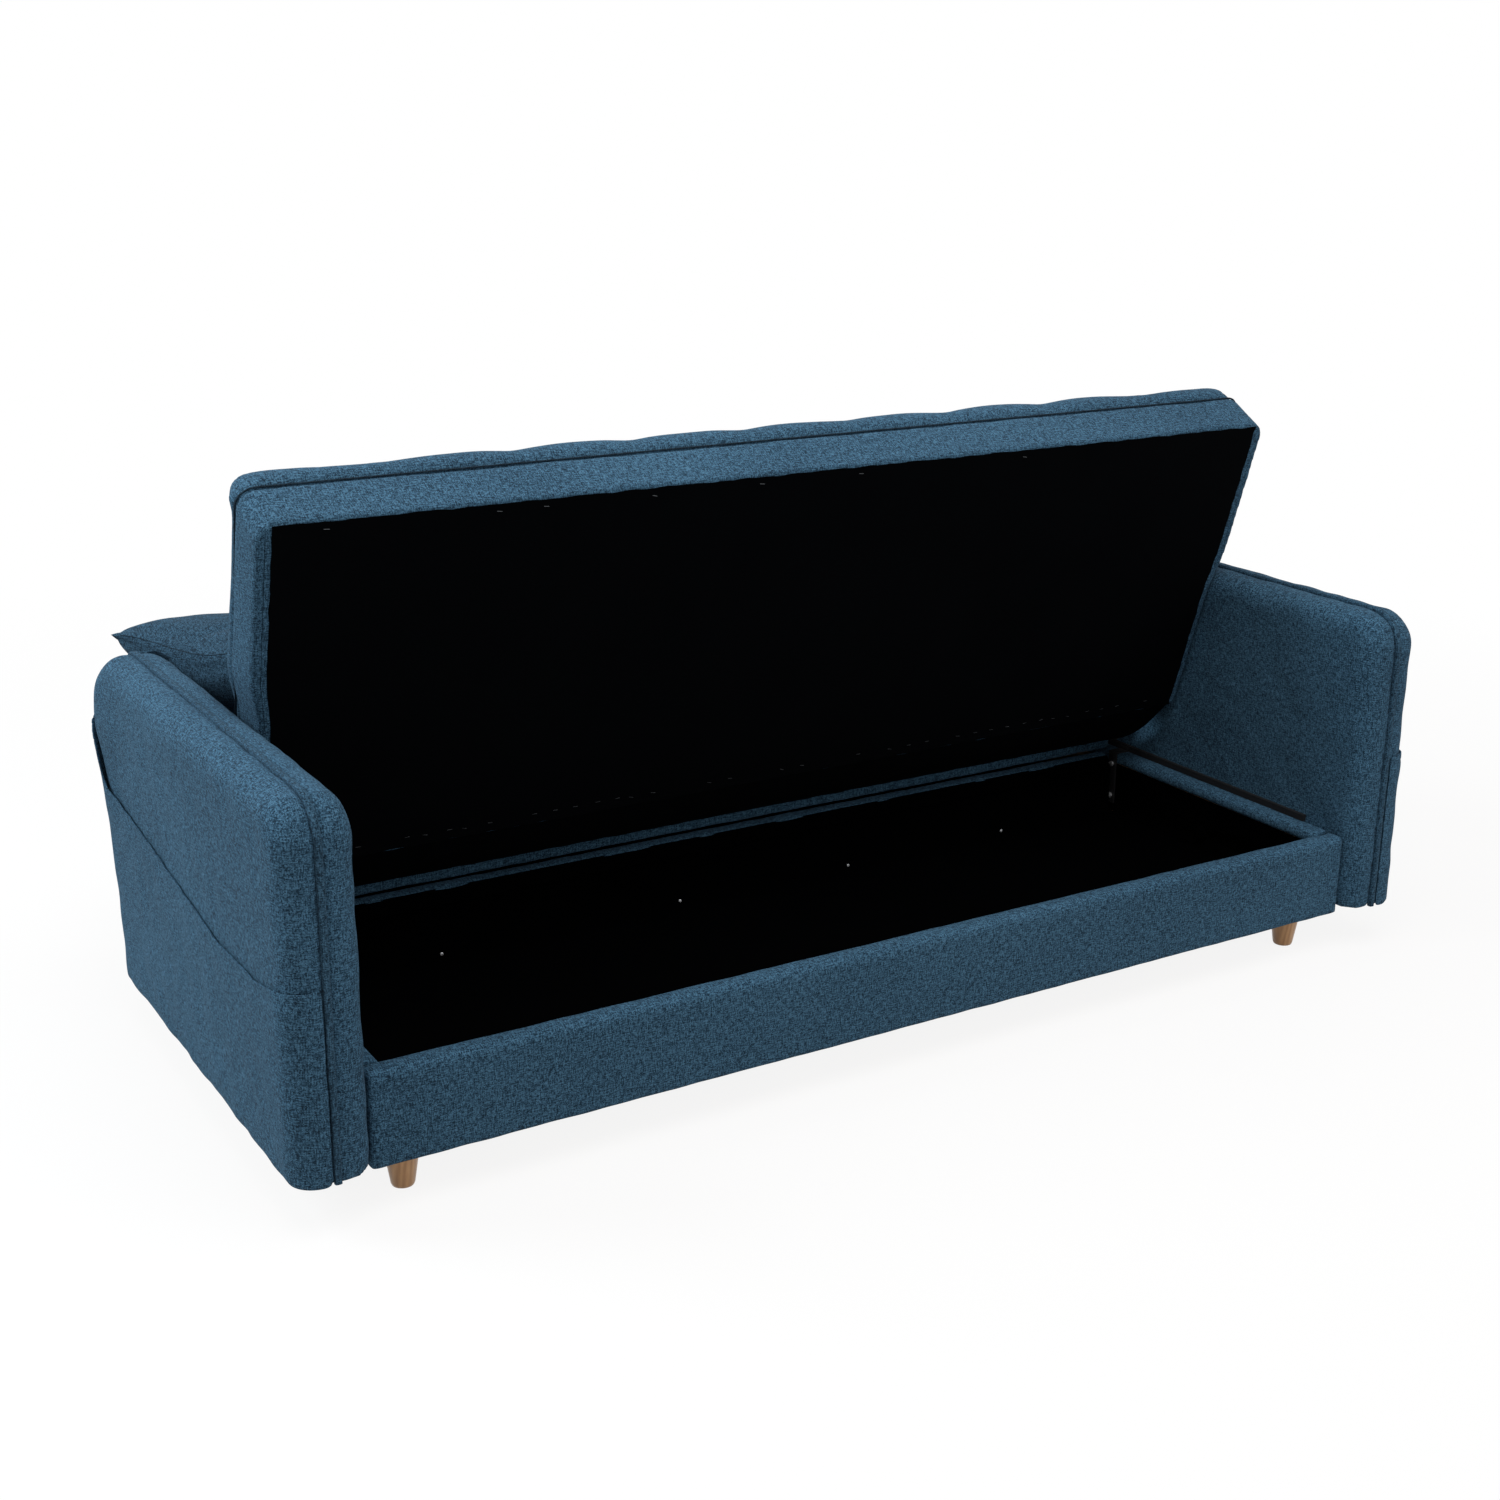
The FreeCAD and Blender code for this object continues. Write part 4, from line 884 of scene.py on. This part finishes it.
mouth = {
    "places": [(-0.05, 0.374), (0.016, 0.369), (0.089, 0.352), (0.167, 0.352), (0.259, 0.349),
               (0.351, 0.362), (0.449, 0.371), (0.552, 0.382), (0.659, 0.396), (0.773, 0.409),
               (0.818, 0.417), (0.843, 0.432), (0.856, 0.458), (0.866, 0.500), (0.877, 0.524), (0.93, 0.550)],
    "bend": 0.35,
    "voxel": 0.0036,
    "rounds": 8,
    "edge": 0.0068,
    "undersideNormal": -0.7,
    "merge": 0.0012,
    "layer": 0.0026,
    "thickness": 0.0022,
    "waver": 0.0016,
    "waverScale": 11.0,
    "gape": 0.0045,
    "gapeFrom": 0.62,
    "gapeFull": 0.85,
    "gapeDepth": 0.11,
    "shutFrom": 0.855,
    "shutOver": 0.03,
    "hemDrop": 0.014,
    "hemWidth": 0.003,
    "hemSink": 0.0011,
}


def mouthHeight(depth):
    places = mouth["places"]
    if depth <= places[0][0]:
        return places[0][1]
    for (d0, z0), (d1, z1) in zip(places, places[1:]):
        if depth <= d1:
            share = (depth - d0) / (d1 - d0)
            return z0 + (z1 - z0) * (mouth["bend"] * eased(share) + (1 - mouth["bend"]) * share)
    return places[-1][1]


def nearestOnPath(spot, path):
    # the point of a line of places that lies nearest to the spot
    best = None
    for a, b in zip(path, path[1:]):
        along = b - a
        share = max(0.0, min(1.0, (spot - a).dot(along) / along.length_squared))
        found = a + along * share
        if best is None or (found - spot).length < (best - spot).length:
            best = found
    return best


def trimToPocket(mesh, way):
    # keeps the outer skin of the arm below the pocket's mouth
    limit = plan["armMiddle"] + mouth["edge"]
    gone = [f for f in mesh.faces if min(way * v.co.x for v in f.verts) < limit]
    bmesh.ops.delete(mesh, geom=gone, context="FACES")
    start = max(mesh.verts, key=lambda v: way * v.co.x)
    keep = set()
    front = [start]
    while front:
        v = front.pop()
        if v in keep:
            continue
        keep.add(v)
        front += [e.other_vert(v) for e in v.link_edges if e.other_vert(v) not in keep]
    gone = []
    for f in mesh.faces:
        above = all(v.co.z > mouthHeight(depthOf(v.co)) for v in f.verts)
        low = f.normal.z < mouth["undersideNormal"]
        if f.verts[0] not in keep or above or low:
            gone.append(f)
    bmesh.ops.delete(mesh, geom=gone, context="FACES")
    loose = [v for v in mesh.verts if not v.link_faces]
    bmesh.ops.delete(mesh, geom=loose, context="VERTS")
    path = [Vector(place) for place in mouth["places"]]
    for v in mesh.verts:
        depth = depthOf(v.co)
        if v.co.z > mouthHeight(depth):
            depth, v.co.z = nearestOnPath(Vector((depth, v.co.z)), path)
            v.co.y = plan["middle"] - depth
    rim = [v for v in mesh.verts if v.is_boundary]
    bmesh.ops.remove_doubles(mesh, verts=rim, dist=mouth["merge"])
    for _ in range(mouth["rounds"]):
        places = {}
        for v in mesh.verts:
            beside = [e.other_vert(v).co for e in v.link_edges if e.is_boundary]
            if len(beside) == 2:
                places[v] = v.co * 0.5 + (beside[0] + beside[1]) * 0.25
        for v, place in places.items():
            v.co = place


def makePocket(side, way):
    # the arm's outer skin again, a little further out, with a gaping mouth
    bumps, seed = covers["armOuter"][-2:]
    piece = copyOfNode("arm_outer_pad_" + side, "armPocket." + side)
    remeshed(piece, mouth["voxel"])
    softened(piece, 0.5, 4)
    rumpled(piece, fabric["bumpScale"], bumps, len("armOuter." + side) + seed)
    normals = [v.normal.copy() for v in piece.data.vertices]
    for v, n in zip(piece.data.vertices, normals):
        depth = depthOf(v.co)
        below = max(0.0, mouthHeight(depth) - v.co.z)
        gape = eased((depth - mouth["gapeFrom"]) / (mouth["gapeFull"] - mouth["gapeFrom"]))
        gape *= 1 - eased((depth - mouth["shutFrom"]) / mouth["shutOver"])
        lift = mouth["gape"] * gape * (1 - eased(below / mouth["gapeDepth"]))
        lift += mouth["waver"] * noise.noise(v.co * mouth["waverScale"])
        hemLine = math.exp(-((below - mouth["hemDrop"]) / mouth["hemWidth"]) ** 2)
        v.co += n * (mouth["layer"] + lift - mouth["hemSink"] * hemLine)
    bulgedArm(piece)
    editPiece(piece, trimToPocket, way=way)
    thickened(piece, mouth["thickness"], 1.0)
    smoothShaded(piece, 60)
    boxMapped(piece)
    return dress(piece, weave, "base", ["arm_pocket_" + side])


print("stage: welts and pockets")
for side, way in sides.items():
    makeWelt(side, way)
    makePocket(side, way)


cords = {"sink": 0.0010}


def makeCord(node, name, body):
    # the seam's cord, drawn down between its two panels, in a darkened copy of the cloth that paints the
    # shadow in the seam
    piece = copyOfNode(node, name)
    normals = [v.normal.copy() for v in piece.data.vertices]
    for v, n in zip(piece.data.vertices, normals):
        v.co -= n * cords["sink"]
    smoothShaded(piece, 50)
    boxMapped(piece)
    return dress(piece, seamShadowWeave, body, [node])


makeCord("seat_piping", "seatPiping", "seat")
backCord = makeCord("back_piping", "backPiping", "back")
flareBack(backCord)
pressedBetweenArms(backCord)

print("stage: scatter cushion")
scatter = {
    "place": (0.750, 0.847, 0.554),
    "lean": 34.6,
    "tip": -11.4,
    "turn": 206.7,
    "length": 0.220,
    "width": 0.200,
    "pull": 0.014,
    "upper": 0.076,
    "lower": 0.098,
    "fullness": 2.6,
    "upperFullness": 5.0,
    "edge": 0.52,
    "droop": 0.045,
    "droopAcross": 1.3,
    "upperDroop": 0.5,
    "lowerDroop": 1.2,
    "droopBlend": 0.018,
    "seamPinch": 0.006,
    "seamWidth": 0.010,
    "pinchOver": 0.003,
    "lip": 0.0012,
    "looseOver": 0.03,
    "folds": ((0.0032, 9.0), (0.0014, 26.0)),
    "cells": 110,
    "evenness": 0.4,
    "crease": [(-1.0, 0.06), (-0.93, -0.02), (-0.84, -0.16), (-0.77, -0.34), (-0.72, -0.52), (-0.70, -0.7)],
    "creaseDepth": 0.009,
    "creaseWidth": 0.050,
    "creaseOver": 0.02,
}

# what the cushion lies on: the seat, and the arm with its rounded sides and front
support = {
    "seat": 0.3925,
    "armTop": 0.6425,
    "armInside": 0.9485,
    "armMiddle": 1.0,
    "armOutside": 1.07,
    "armFront": 0.909,
    "sideRound": 0.04,
    "frontRound": 0.087,
    "roundsInside": 0.9885,
    "roundsOutside": 1.0265,
    "roundsFront": 0.822,
}


def gridPiece(name, columns, rows, place):
    # a sheet of cells, each corner put where place says
    verts = [place(i / columns, j / rows) for j in range(rows + 1) for i in range(columns + 1)]
    wide = columns + 1
    faces = [(j * wide + i, j * wide + i + 1, (j + 1) * wide + i + 1, (j + 1) * wide + i)
             for j in range(rows) for i in range(columns)]
    data = bpy.data.meshes.new(name)
    data.from_pydata([tuple(v) for v in verts], [], faces)
    return linked(name, data)


def swell(share, power, edge):
    return max(0.0, 1 - abs(share) ** power) ** edge


def nearCrease(s, t):
    # 1 on the crease, 0 away from it
    spot = Vector((s, t))
    away = (spot - nearestOnPath(spot, [Vector(place) for place in scatter["crease"]])).length
    return math.exp(-(away / scatter["creaseWidth"]) ** 2)


def cushionPoint(s, t, upper):
    # a point of the cushion's cover; s runs down from the arm, t towards the seat's front
    c = scatter
    length = c["length"] - c["pull"] * (1 - t * t)
    reach = c["width"] - c["pull"] * (1 - s * s)
    rim = min((1 - abs(s)) * length, (1 - abs(t)) * reach)
    pinch = c["seamPinch"] * math.exp(-((rim - c["seamWidth"] * 0.5) / (c["seamWidth"] * 0.5)) ** 2)
    height = c["lip"] - pinch * min(1.0, rim / c["pinchOver"])
    droop = c["droop"] * eased((1 - t) / c["droopAcross"])
    above = 1 - eased((s + 1) / c["upperDroop"])
    below = 1 - eased((s + 1) / c["lowerDroop"])
    full = swell(t, c["fullness"], c["edge"])
    if upper:
        height += c["upper"] * swell(s, c["upperFullness"] if s < 0 else c["fullness"], c["edge"]) * full
        height -= c["creaseDepth"] * nearCrease(s, t) * min(1.0, rim / c["creaseOver"])
        droop *= above
    else:
        height = -height - c["lower"] * swell(s, c["fullness"], c["edge"]) * full
        droop *= above + (below - above) * eased(rim / c["droopBlend"])
    if rim < 1e-6:
        height = 0.0
    turn = Matrix.Identity(4)
    for axis, angle in (("Z", "turn"), ("X", "tip"), ("Y", "lean")):
        turn = turn @ Matrix.Rotation(math.radians(c[angle]), 4, axis)
    spot = turn @ Vector((length * s, reach * t, height - droop)) + at(*c["place"])
    n = turn @ Vector((0, 0, 1 if upper else -1))
    loose = min(1.0, rim / c["looseOver"])
    return spot + n * loose * sum(depth * noise.noise(spot * scale) for depth, scale in c["folds"])


def roundedFall(past, radius):
    # how far a rounded edge has dropped, this far past the start of its rounding
    return radius - math.sqrt(max(0.0, radius ** 2 - past ** 2)) if past > 0 else 0.0


def restedOnArm(spot):
    # keeps a point above and inside the padded arm's rounded edge
    depth = depthOf(spot)
    x = spot.x
    if support["armInside"] < x < support["armOutside"] and depth < support["armFront"]:
        fall = roundedFall(support["roundsInside"] - x, support["sideRound"])
        fall += roundedFall(x - support["roundsOutside"], support["sideRound"])
        fall += roundedFall(depth - support["roundsFront"], support["frontRound"])
        top = support["armTop"] - fall
        if spot.z < top:
            if x - support["armInside"] < top - spot.z and x < support["armMiddle"]:
                spot.x = support["armInside"]
            else:
                spot.z = top
    spot.z = max(spot.z, support["seat"])
    return spot


def spreadShare(i, cells):
    # places along a side, closer together near the seams
    even = scatter["evenness"]
    return -math.cos(math.pi * i / cells) * (1 - even) + (2 * i / cells - 1) * even


def makeScatterCushion():
    cells = scatter["cells"] // 1
    sheets = []
    for upper in (True, False):
        def place(u, v):
            s = spreadShare(round(u * cells), cells)
            t = spreadShare(round(v * cells), cells)
            return restedOnArm(cushionPoint(s, t, upper))

        sheets.append(gridPiece("cushionPanel", cells, cells, place))
    piece = joinedPiece(sheets, "scatterCushion")
    editPiece(piece, lambda m: bmesh.ops.remove_doubles(m, verts=m.verts, dist=2e-5))
    editPiece(piece, lambda m: bmesh.ops.recalc_face_normals(m, faces=m.faces))
    softened(piece, 0.4, 1)
    smoothShaded(piece)
    boxMapped(piece)
    return dress(piece, shadedCushionWeave, "cushion", ["scatter_cushion"])


seam = {
    "radius": 0.0008,
    "steps": 96,
    "sides": 8,
    "drawn": 0.0002,
    "cornerDrawn": 0.0130,
    "cornerFrom": 0.88,
}


def makeCushionSeam():
    # the thin sewn line round the cushion's edge, drawn in at the corners, in a darkened copy of the
    # cushion's cloth that paints the seam's shadow
    ways = [2 * i / seam["steps"] - 1 for i in range(seam["steps"])]
    rim = [(a, -1.0) for a in ways] + [(1.0, a) for a in ways]
    rim += [(-a, 1.0) for a in ways] + [(-1.0, -a) for a in ways] + [(-1.0, -1.0)]
    points = [restedOnArm(cushionPoint(s, t, True)) for s, t in rim]
    middle = sum(points, Vector()) / len(points)
    outward = [(p - middle).normalized() for p in points]
    for i, (s, t) in enumerate(rim):
        corner = eased((abs(s * t) - seam["cornerFrom"]) / (1 - seam["cornerFrom"]))
        points[i] = points[i] - outward[i] * (seam["drawn"] + seam["cornerDrawn"] * corner)
    profile = bandProfile(seam["radius"], seam["radius"], seam["sides"], 1.0)
    piece = sweptBand("scatterSeam", points, outward, profile)
    smoothShaded(piece)
    boxMapped(piece)
    return dress(piece, cushionSeamShadowWeave, "cushion")


makeScatterCushion()
makeCushionSeam()

print("stage: black cloths")
panel = {
    "left": 0.928,
    "right": -0.927,
    "top": -0.004,
    "bottom": 0.596,
    "height": 0.2342,
    "span": (1.87, 0.6),
    "cell": 0.012,
    "looseOver": 0.05,
    "waver": 0.0016,
    "puff": 0.0018,
    "wave": 0.0007,
    "staplePitch": 0.038,
}


def panelPoint(u, v):
    # a point of the cloth stretched over the back's rear: it wavers at its edges and puffs between them
    x = panel["right"] + (panel["left"] - panel["right"]) * u
    depth = panel["top"] + (panel["bottom"] - panel["top"]) * v
    spot = Vector((x, depth, 0))
    across, down = panel["span"]
    loose = eased(min(u * across, (1 - u) * across, v * down, (1 - v) * down) / panel["looseOver"])
    waver = panel["waver"] * (1 - loose)
    x += 2.0 * waver * noise.noise(spot * 42.0)
    depth += 1.6 * waver * noise.noise(spot * 34.0 + Vector((7, 3, 1)))
    puff = panel["puff"] * (0.5 + noise.noise(spot * 5.0)) * loose
    wave = panel["wave"] * noise.noise(spot * 40.0 + Vector((1, 5, 2))) * (1 - 0.5 * loose)
    return swung(at(x, depth, panel["height"] - puff - abs(wave)))


def makeBackCloth():
    columns = int(1.864 / panel["cell"])
    rows = int(0.6 / panel["cell"])
    piece = gridPiece("backCloth", columns, rows, panelPoint)
    thickened(piece, fabric["sheet"])
    flareBack(piece, backFlare["clothShare"])
    smoothShaded(piece, 40)
    dress(piece, panelCloth, "back", ["back_dust_cover"])
    pressedBetweenArms(piece)
    return piece


returned = {
    "outer": 0.936,
    "inner": 0.905,
    "top": 0.004,
    "bottom": 0.592,
    "height": 0.2349,
    "thickness": 0.0006,
    "columns": 4,
    "rows": 70,
}


def makeBackReturn(side, way):
    # the border's cloth turned in behind the back's frame, under the black cloth
    def place(u, v):
        x = returned["outer"] + (returned["inner"] - returned["outer"]) * u
        depth = returned["top"] + (returned["bottom"] - returned["top"]) * v
        return swung(at(way * x, depth, returned["height"]))

    piece = gridPiece("backReturn." + side, returned["columns"], returned["rows"], place)
    thickened(piece, returned["thickness"])
    flareBack(piece, backFlare["clothShare"])
    smoothShaded(piece, 40)
    boxMapped(piece)
    dress(piece, weave, "back")
    pressedBetweenArms(piece)


staple = {
    "length": 0.0085,
    "wire": 0.0006,
    "sink": 0.0011,
    "ends": (0.03, 0.02),
    "seed": 11,
    "rows": [
        {"depth": 0.577, "least": -0.16, "along": 0.024, "across": 0.006, "turn": 0.8, "noise": (13.0, 2.0)},
        {"depth": 0.007, "least": 0.22, "along": 0.012, "across": 0.003, "turn": 0.4, "noise": (11.0, 5.0)},
    ],
}


def staplePlaces():
    # the wire staples along the cloth's two long edges: across, depth and turn of each
    places = []
    x = panel["right"] + staple["ends"][0]
    while x < panel["left"] - staple["ends"][1]:
        for row in staple["rows"]:
            scale, start = row["noise"]
            jitter = noise.noise(Vector((x * scale, start, staple["seed"])))
            if jitter > row["least"]:
                depth = row["depth"] + row["across"] * jitter
                places.append((x + row["along"] * jitter, depth, row["turn"] * jitter))
        x += panel["staplePitch"]
    return places


def makeStaples():
    mesh = bmesh.new()
    size = Matrix.Diagonal((staple["length"], staple["wire"], staple["wire"], 1))
    for x, depth, turn in staplePlaces():
        spot = Matrix.Translation(swung(at(x, depth, panel["height"] - staple["sink"])))
        lie = Matrix.Rotation(plan["swing"], 4, "X") @ Matrix.Rotation(turn, 4, "Z")
        bmesh.ops.create_cube(mesh, size=1.0, matrix=spot @ lie @ size)
    piece = pieceOfMesh("backStaples", mesh)
    flareBack(piece, backFlare["clothShare"])
    dress(piece, stapleWire, "back")
    pressedBetweenArms(piece)


skirt = {
    "half": 0.925,
    "startDepth": 0.590,
    "startHeight": 0.2336,
    "endDepth": 0.6108,
    "endHeight": 0.247,
    "sag": 0.012,
    "sagBack": 0.3,
    "crinkle": 0.002,
    "stitched": 0.05,
    "rows": 12,
    "cell": 0.014,
    "thickness": 0.0008,
}


def skirtPoint(u, v):
    # black cloth strip from the back's lower edge to the seat's rear, hanging a little
    x = skirt["half"] * (2 * u - 1)
    top = swung(at(x, skirt["startDepth"], skirt["startHeight"]))
    spot = top.lerp(at(x, skirt["endDepth"], skirt["endHeight"]), v)
    sag = skirt["sag"] * math.sin(math.pi * v) * (1 + 0.5 * noise.noise(Vector((x * 6.0, v * 2.0, 1.0))))
    spot.z -= sag
    spot.y += skirt["sagBack"] * sag
    if v > skirt["stitched"]:
        spot.z += skirt["crinkle"] * noise.noise(Vector((x * 28.0, v * 3.0, 4.0)))
    return spot


def makeSkirt():
    columns = int(2 * skirt["half"] / skirt["cell"])
    piece = gridPiece("gapCloth", columns, skirt["rows"], skirtPoint)
    thickened(piece, skirt["thickness"])
    smoothShaded(piece, 60)
    dress(piece, panelCloth, None)
    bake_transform(piece)


liner = {
    "boltDepths": (0.131, 0.336),
    "boltHeight": 0.125,
    "wall": 0.9177,
    "tent": (0.007, 0.015, 0.015),
    "lipHalf": 0.888,
    "lipColumns": 160,
    "lipWaver": (0.0004, 0.0006),
    "lip": [(0.5934, 0.189), (0.5868, 0.194), (0.5864, 0.203), (0.5868, 0.2085), (0.5884, 0.2135),
            (0.5915, 0.2180), (0.5945, 0.2203)],
}


def lipPoint(u, v):
    # the lining's turned edge, stapled high on the cross rail's rear face
    x = liner["lipHalf"] * (2 * u - 1)
    depth, z = liner["lip"][round(v * (len(liner["lip"]) - 1))]
    waver = noise.noise(Vector((x * 22.0, 4.0, 9.0)))
    out, up = liner["lipWaver"]
    return at(x, depth - out * abs(waver), z + up * waver * v)


def makeLining():
    # the box's lining, which lies over the heads of the arm bolts
    piece = copyOfNode("storage_lining", "storageLining")
    caps = []
    for way in sides.values():
        for depth in liner["boltDepths"]:
            spot = at(way * liner["wall"], depth, liner["boltHeight"])
            bpy.ops.mesh.primitive_uv_sphere_add(segments=20, ring_count=12, radius=1.0)
            cap = bpy.context.object
            cap.data.transform(Matrix.Translation(spot) @ Matrix.Diagonal((*liner["tent"], 1)))
            caps.append(cap)
    lip = gridPiece("liningLip", liner["lipColumns"], len(liner["lip"]) - 1, lipPoint)
    thickened(lip, fabric["sheet"])
    piece = joinedPiece([piece] + caps + [lip], "storageLining")
    smoothShaded(piece, 40)
    return dress(piece, liningCloth, "base", ["storage_lining"])


frontLiner = {
    "half": 0.9155,
    "floor": (0.6295, 0.814),
    "notch": (0.889, 0.594),
    "floorHeight": 0.0955,
    "wallDepth": 0.8153,
    "wallTop": 0.204,
    "ripple": 0.0008,
    "columns": 122,
    "rows": 22,
}


def frontLinerPoint(u, v):
    # along the floor of the box's front room, from beside the cross rail's ends, then up its front board
    c = frontLiner
    x = c["half"] * (2 * u - 1)
    start = c["notch"][1] if abs(x) > c["notch"][0] else c["floor"][0]
    run = c["floor"][1] - start
    rise = c["wallTop"] - c["floorHeight"]
    way = v * (run + rise)
    ripple = c["ripple"] * noise.noise(Vector((x * 15.0, way * 15.0, 3.0)))
    if way < run:
        return at(x, start + way, c["floorHeight"] + ripple)
    return at(x, c["wallDepth"] + ripple, c["floorHeight"] + way - run)


def makeFrontLining():
    c = frontLiner
    piece = gridPiece("frontLining", c["columns"], c["rows"], frontLinerPoint)
    thickened(piece, fabric["sheet"])
    smoothShaded(piece, 40)
    return dress(piece, liningCloth, "base")


def makeSeatCloth():
    piece = copyOfNode("seat_dust_cover", "seatDustCover")
    smoothShaded(piece, 40)
    return dress(piece, panelCloth, "seat", ["seat_dust_cover"])


makeBackCloth()
for side, way in sides.items():
    makeBackReturn(side, way)
makeStaples()
makeSkirt()
makeLining()
makeFrontLining()
makeSeatCloth()

screws = {
    "radius": 0.0032,
    "bulge": 0.0012,
    "crossRail": [(-0.62, 0.104), (-0.25, 0.101), (0.12, 0.103), (0.59, 0.100)],
    "crossDepth": 0.5925,
}


def makeLiningScrews():
    # small bright heads along the foot of the lining's front wall
    mesh = bmesh.new()
    size = Matrix.Diagonal((screws["radius"], screws["bulge"], screws["radius"], 1))
    for x, z in screws["crossRail"]:
        spot = Matrix.Translation(at(x, screws["crossDepth"], z))
        bmesh.ops.create_uvsphere(mesh, u_segments=14, v_segments=8, radius=1.0, matrix=spot @ size)
    piece = pieceOfMesh("liningScrews", mesh)
    smoothShaded(piece)
    dress(piece, zincSteel, "base")


makeLiningScrews()


# Camera, floor and light

view = {
    "place": (1.8347, 3.0565, 1.5245),
    "direction": (-0.4952, -0.8127, -0.3071),
    "roll": 0.484,
    "lens": 49.36,
    "sensor": 36.0,
    "farthest": 60.0,
}


def makeCamera():
    camera = linked("photoCamera", bpy.data.cameras.new("photoCamera"))
    forward = Vector(view["direction"]).normalized()
    right = forward.cross(Vector((0, 0, 1))).normalized()
    up = right.cross(forward)
    roll = math.radians(view["roll"])
    tiltedRight = right * math.cos(roll) + up * math.sin(roll)
    tiltedUp = up * math.cos(roll) - right * math.sin(roll)
    turn = Matrix((tiltedRight, tiltedUp, -forward)).transposed().to_4x4()
    camera.matrix_world = Matrix.Translation(view["place"]) @ turn
    camera.data.sensor_width = view["sensor"]
    camera.data.lens = view["lens"]
    camera.data.clip_end = view["farthest"]
    bpy.context.scene.camera = camera


studio = {
    "floorSize": 40.0,
    "worldStrength": 0.35,
    "worldColour": (1.0, 0.91, 0.86),
    "clear": (1.5, 3.6),
    "floorColour": 0.40,
    "floorShown": 0.55,
    "glowNear": 0.88,
    "aim": (0, 0, 0.4),
    "lamps": {
        "key": {"place": (5.0, -2.2, 4.4), "size": 3.2, "power": 262.0, "colour": (0.87, 0.96, 1.0)},
        "fill": {"place": (-2.8, 4.8, 2.6), "size": 3.0, "power": 42.0, "colour": (1, 1, 1)},
        "top": {"place": (0.5, 1.8, 5.0), "size": 4.0, "power": 130.0, "colour": (1, 1, 1)},
    },
}


def seenDirectly(tree):
    # 1 for what the camera, a mirror or a glass sees, 0 for light that falls on the object
    path = addNode(tree, "ShaderNodeLightPath")
    seen = mathNode(tree, "MAXIMUM", path.outputs["Is Camera Ray"], path.outputs["Is Glossy Ray"])
    return mathNode(tree, "MAXIMUM", seen, path.outputs["Is Transmission Ray"])


def makeWorld():
    # plain white where it is seen, and a weaker warm light on the object
    world = bpy.data.worlds.new("studio")
    bpy.context.scene.world = world
    tree = clearTree(world)
    output = tree.nodes.new("ShaderNodeOutputWorld")
    seen = seenDirectly(tree)
    strength = addNode(tree, "ShaderNodeMapRange", [("Value", seen)])
    strength.inputs["To Min"].default_value = studio["worldStrength"]
    strength.inputs["To Max"].default_value = 1.0
    colour = rampNode(tree, seen, [(0.0, studio["worldColour"]), (1.0, (1, 1, 1))])
    links = [("Strength", strength.outputs["Result"]), ("Color", colour)]
    glow = addNode(tree, "ShaderNodeBackground", links)
    tree.links.new(glow.outputs["Background"], output.inputs["Surface"])


def makeFloor():
    # pale floor that glows plain white where it is seen, least near the object, so that the shadow stays
    bpy.ops.mesh.primitive_plane_add(size=studio["floorSize"], location=(0, 0, 0))
    floor = bpy.context.object
    floor.name = "studioFloor"
    material = bpy.data.materials.new("studioFloor")
    tree = clearTree(material)
    output = tree.nodes.new("ShaderNodeOutputMaterial")
    seen = seenDirectly(tree)
    shade = mathNode(tree, "MULTIPLY_ADD", seen, studio["floorShown"], studio["floorColour"])
    plain = addNode(tree, "ShaderNodeBsdfDiffuse", [("Color", shade)])
    glow = addNode(tree, "ShaderNodeEmission", Strength=1.0, Color=(1, 1, 1, 1))
    away = addNode(tree, "ShaderNodeVectorMath", [("Vector", objectPlace(tree))], operation="LENGTH")
    clear = addNode(tree, "ShaderNodeMapRange", [("Value", away.outputs["Value"])],
                    interpolation_type="SMOOTHSTEP")
    clear.inputs["From Min"].default_value, clear.inputs["From Max"].default_value = studio["clear"]
    clear.inputs["To Min"].default_value = studio["glowNear"]
    share = mathNode(tree, "MULTIPLY", seen, clear.outputs["Result"])
    mixed = addNode(tree, "ShaderNodeMixShader", [("Fac", share)])
    tree.links.new(plain.outputs["BSDF"], mixed.inputs[1])
    tree.links.new(glow.outputs["Emission"], mixed.inputs[2])
    tree.links.new(mixed.outputs["Shader"], output.inputs["Surface"])
    floor.data.materials.append(material)


def makeLamps():
    for name, lamp in studio["lamps"].items():
        data = bpy.data.lights.new(name, "AREA")
        data.shape = "DISK"
        data.size = lamp["size"]
        data.energy = lamp["power"]
        data.color = lamp["colour"]
        light = linked(name, data)
        light.location = lamp["place"]
        aim = Vector(studio["aim"]) - Vector(lamp["place"])
        light.rotation_mode = "QUATERNION"
        light.rotation_quaternion = aim.to_track_quat("-Z", "Y")


print("stage: camera and studio")
bpy.context.scene.view_settings.view_transform = "Standard"
makeCamera()
makeWorld()
makeFloor()
makeLamps()
